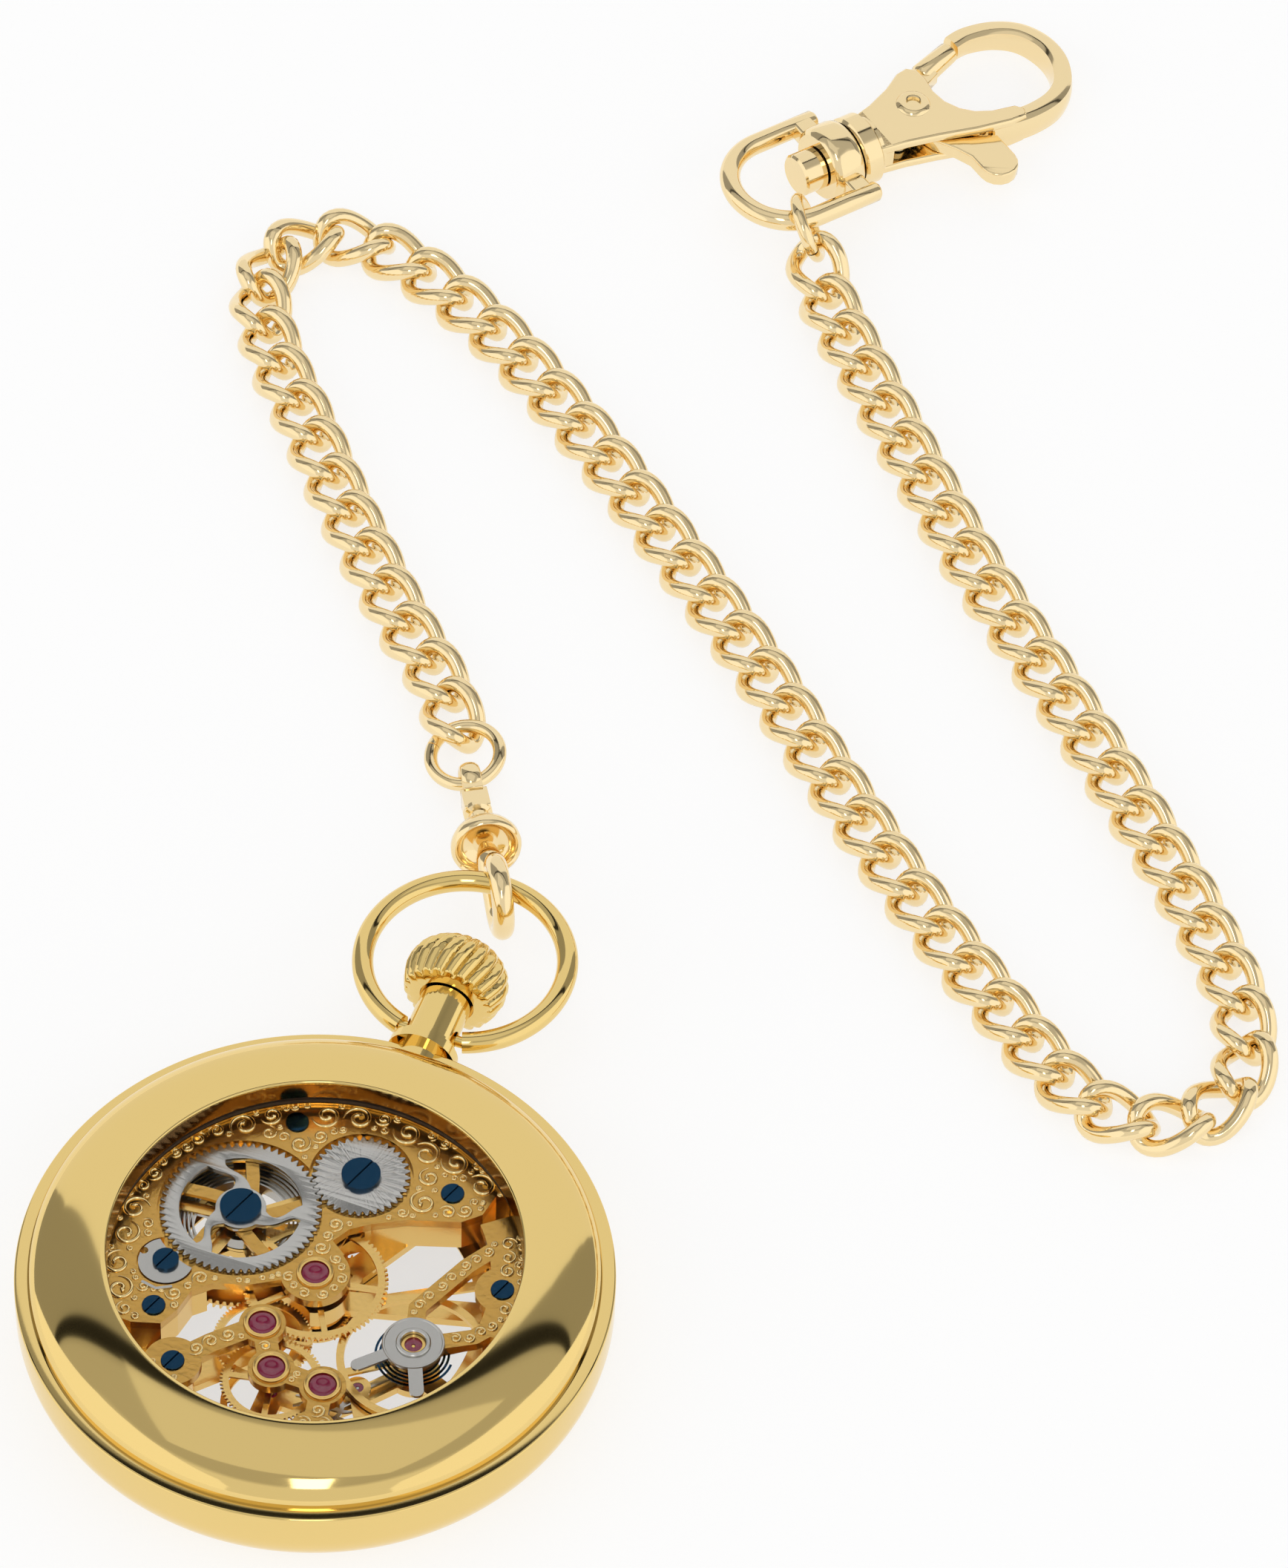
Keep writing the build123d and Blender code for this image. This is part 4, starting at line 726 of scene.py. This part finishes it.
def wheels():
    """The ratchet wheel with its three S-curved spokes and the plain crown wheel."""
    turns = [108 + 120 * i for i in range(3)]
    windows = [swirl_window(2.15, 5.15, a, a + 120, 26, 0.8) for a in turns]
    loops = [toothed(60, 0.22)] + windows + [circle(0.5, 24)]
    plate_piece("ratchet_wheel_plate", loops, 7.55, 8.05, 0.05, "steel", "ratchet", ["ratchet_wheel"], BARREL)
    toward = math.atan2(CROWN_WHEEL[1] - BARREL[1], CROWN_WHEEL[0] - BARREL[0])
    turn = (toward + math.pi) / (2 * math.pi) * 36 - 0.5 + toward / (2 * math.pi) * 60
    disc = plate_piece("crown_wheel_plate", [toothed(36, 0.22, turn), circle(0.55, 24)], 7.55, 8.05, 0.05, "steel",
                       "crown_wheel", ["crown_wheel"], CROWN_WHEEL)
    disc.data.materials[0] = SUNRAY


def regulator_collar(top=8.30):
    """The regulator's polished rim and its raised collar round the balance jewel."""
    rim = [(2.35, top - 0.02), (2.42, top + 0.06), (2.55, top + 0.06), (2.62, top - 0.04), (2.62, top - 0.25),
           (2.35, top - 0.25)]
    collar = [(1.04, top - 0.2), (1.06, top + 0.16), (1.14, top + 0.22), (1.36, top + 0.22), (1.46, top + 0.14),
              (1.5, top - 0.2)]
    move = Matrix.Translation((*BALANCE, 0))
    piece("regulator_collar", *merged(placed(move, turned(rim, 72)), placed(move, turned(collar, 72))), "steel",
          "case", (), 30)


def movement():
    relief("barrel_bridge_scrolls", barrel_bridge_room, "case", (1.3, 1.0, 0.74, 0.54, 0.4, 0.28))
    cock = bars_room(COCK_BARS, ((BALANCE, 2.8), (SCREWS[4], 1.15)))
    relief("balance_cock_scrolls", cock, "case", (0.7, 0.52, 0.4, 0.3))
    train = bars_room(TRAIN_BARS, ((THIRD, 1.65), (FOURTH, 1.65), (ESCAPE, 1.65), (SCREWS[3], 1.15)))
    relief("train_bridge_scrolls", train, "case", (0.7, 0.52, 0.4, 0.3))
    cups, stones = [], []
    for at in ((0, 0), THIRD, FOURTH, ESCAPE):
        cup, stone = chaton(at, BRIDGE_TOP)
        cups.append(cup)
        stones.append(stone)
    piece("chaton_cups", *merged(*cups), "movement_gold", "case", (), 40)
    piece("ruby_domes", *merged(*stones), "ruby", "case", (), 60)
    regulator_collar()
    wheels()


# ---------------------------------------------------------------- stage, light and camera
def camera():
    """The camera's place, turned from its own heading into the row frame."""
    turn = Matrix.Rotation(math.radians(18.2), 4, "Z")
    pitch, roll, distance = 0.8933, 0.0273, 0.87044
    back = Vector((0, -math.cos(pitch), math.sin(pitch)))
    right = Vector((1, 0, 0))
    up = back.cross(right)
    c, s = math.cos(roll), math.sin(roll)
    right_rolled = c * right + s * up
    up_rolled = -s * right + c * up
    place = Vector((0.026186, 0.059509, 0)) + back * distance
    pose = Matrix((
        (right_rolled.x, up_rolled.x, back.x, place.x),
        (right_rolled.y, up_rolled.y, back.y, place.y),
        (right_rolled.z, up_rolled.z, back.z, place.z),
        (0, 0, 0, 1),
    ))
    data = bpy.data.cameras.new("camera")
    data.sensor_fit = "VERTICAL"
    data.angle = 2 * math.atan(1057 / 13419.5)
    data.clip_start, data.clip_end = 0.05, 20
    cam = bpy.data.objects.new("camera", data)
    cam.matrix_world = turn @ pose
    scene.collection.objects.link(cam)
    scene.camera = cam


WATCH = Vector((0, 0, 0.008))
FLOOR_Z = -0.008
LOOK_BEARING = 108.2


def card(name, bearing, outline, radiance):
    """A flat white card one metre away; its outline is given sideways and up, in metres."""
    b = math.radians(LOOK_BEARING + bearing)
    ahead, left = Vector((math.cos(b), math.sin(b), 0)), Vector((-math.sin(b), math.cos(b), 0))
    mesh = bpy.data.meshes.new(name)
    mesh.from_pydata([WATCH + ahead + left * x + Vector((0, 0, z)) for x, z in outline], [], [range(len(outline))])
    mesh.materials.append(material(name + "_white", (0, 0, 0), 0.0, 1.0, Emission_Color=(1, 1, 1, 1),
                                   Emission_Strength=radiance))
    obj = bpy.data.objects.new(name, mesh)
    # seen only in reflections, so it never stands between a camera and the watch
    obj.visible_camera = False
    scene.collection.objects.link(obj)


def panel(name, bearing, elevation, distance, size, radiance):
    """A softbox facing the watch; its bearing is measured from the line of sight, to the left."""
    b, e = math.radians(LOOK_BEARING + bearing), math.radians(elevation)
    away = Vector((math.cos(b) * math.cos(e), math.sin(b) * math.cos(e), math.sin(e)))
    data = bpy.data.lights.new(name, "AREA")
    data.shape = "RECTANGLE"
    data.size, data.size_y = size
    data.energy = radiance * math.pi * size[0] * size[1]
    lamp = bpy.data.objects.new(name, data)
    lamp.location = WATCH + away * distance
    lamp.rotation_euler = away.to_track_quat("Z", "Y").to_euler()
    scene.collection.objects.link(lamp)


def ramp(node, stops):
    """Sets a colour ramp to greys at places."""
    elements = node.color_ramp.elements
    while len(elements) < len(stops):
        elements.new(1.0)
    for element, (place, grey) in zip(elements, stops):
        element.position = place
        element.color = (grey, grey, grey, 1)


def stage():
    bpy.ops.mesh.primitive_plane_add(size=6, location=(0, 0, -0.00002))
    floor = bpy.context.object
    floor.name = "floor"
    floor.data.materials.append(FLOOR)
    card("card_far", 0, [(0.85, FLOOR_Z), (0.85, 0.3), (0.78, 0.73), (0.6, 1.05), (0.42, 1.36), (0.2, 1.68),
                         (-0.2, 1.75), (-0.42, 1.72), (-0.65, 1.45), (-0.84, 1.09), (-1.0, 0.6),
                         (-1.05, 0.2), (-1.05, FLOOR_Z)], 0.88)
    side = [(-0.49, FLOOR_Z), (-0.33, 0.38), (-0.04, 1.0), (0.2, 1.2), (0.6, 1.32), (1.6, 1.32), (2.0, 0.8),
            (2.0, FLOOR_Z)]
    card("card_left", 90, side, 1.08)
    card("card_right", -90, [(-x, z) for x, z in side], 1.08)
    panel("softbox_top", 0, 90, 1.0, (0.92, 0.66), 0.26)
    panel("key_near", 180, 57, 0.95, (0.15, 0.34), 3.2)
    world = bpy.data.worlds.new("world")
    scene.world = world
    world.use_nodes = True
    tree = world.node_tree
    coords = tree.nodes.new("ShaderNodeTexCoord")
    split = tree.nodes.new("ShaderNodeSeparateXYZ")
    far_side, near_side = (tree.nodes.new("ShaderNodeValToRGB") for _ in range(2))
    ramp(far_side, [(0.435, 0.34), (0.45, 0.015), (0.545, 0.015), (0.56, 0.42), (0.62, 0.5)])
    ramp(near_side, [(0.72, 0.82), (0.8, 0.5)])
    ahead = tree.nodes.new("ShaderNodeVectorMath")
    ahead.operation = "DOT_PRODUCT"
    b = math.radians(LOOK_BEARING)
    ahead.inputs[1].default_value = (math.cos(b), math.sin(b), 0)
    near_far = tree.nodes.new("ShaderNodeMapRange")
    near_far.inputs["From Min"].default_value = -0.08
    near_far.inputs["From Max"].default_value = 0.08
    mix = tree.nodes.new("ShaderNodeMix")
    mix.data_type = "RGBA"
    ahead_some, steep, quarter = (tree.nodes.new("ShaderNodeMath") for _ in range(3))
    ahead_some.operation, steep.operation, quarter.operation = "MAXIMUM", "DIVIDE", "MULTIPLY"
    ahead_some.inputs[1].default_value = 0.01
    quarter.inputs[1].default_value = 0.25
    tree.links.new(coords.outputs["Generated"], split.inputs["Vector"])
    tree.links.new(coords.outputs["Generated"], ahead.inputs[0])
    tree.links.new(ahead.outputs["Value"], near_far.inputs["Value"])
    tree.links.new(ahead.outputs["Value"], ahead_some.inputs[0])
    tree.links.new(split.outputs["Z"], steep.inputs[0])
    tree.links.new(ahead_some.outputs[0], steep.inputs[1])
    tree.links.new(steep.outputs[0], quarter.inputs[0])
    tree.links.new(quarter.outputs[0], far_side.inputs["Fac"])
    tree.links.new(split.outputs["Z"], near_side.inputs["Fac"])
    tree.links.new(near_far.outputs["Result"], mix.inputs["Factor"])
    tree.links.new(near_side.outputs["Color"], mix.inputs["A"])
    tree.links.new(far_side.outputs["Color"], mix.inputs["B"])
    tree.links.new(mix.outputs["Result"], tree.nodes["Background"].inputs["Color"])


case()
bow()
crown()
chain()
swivel()
clasp()
movement()
camera()
stage()
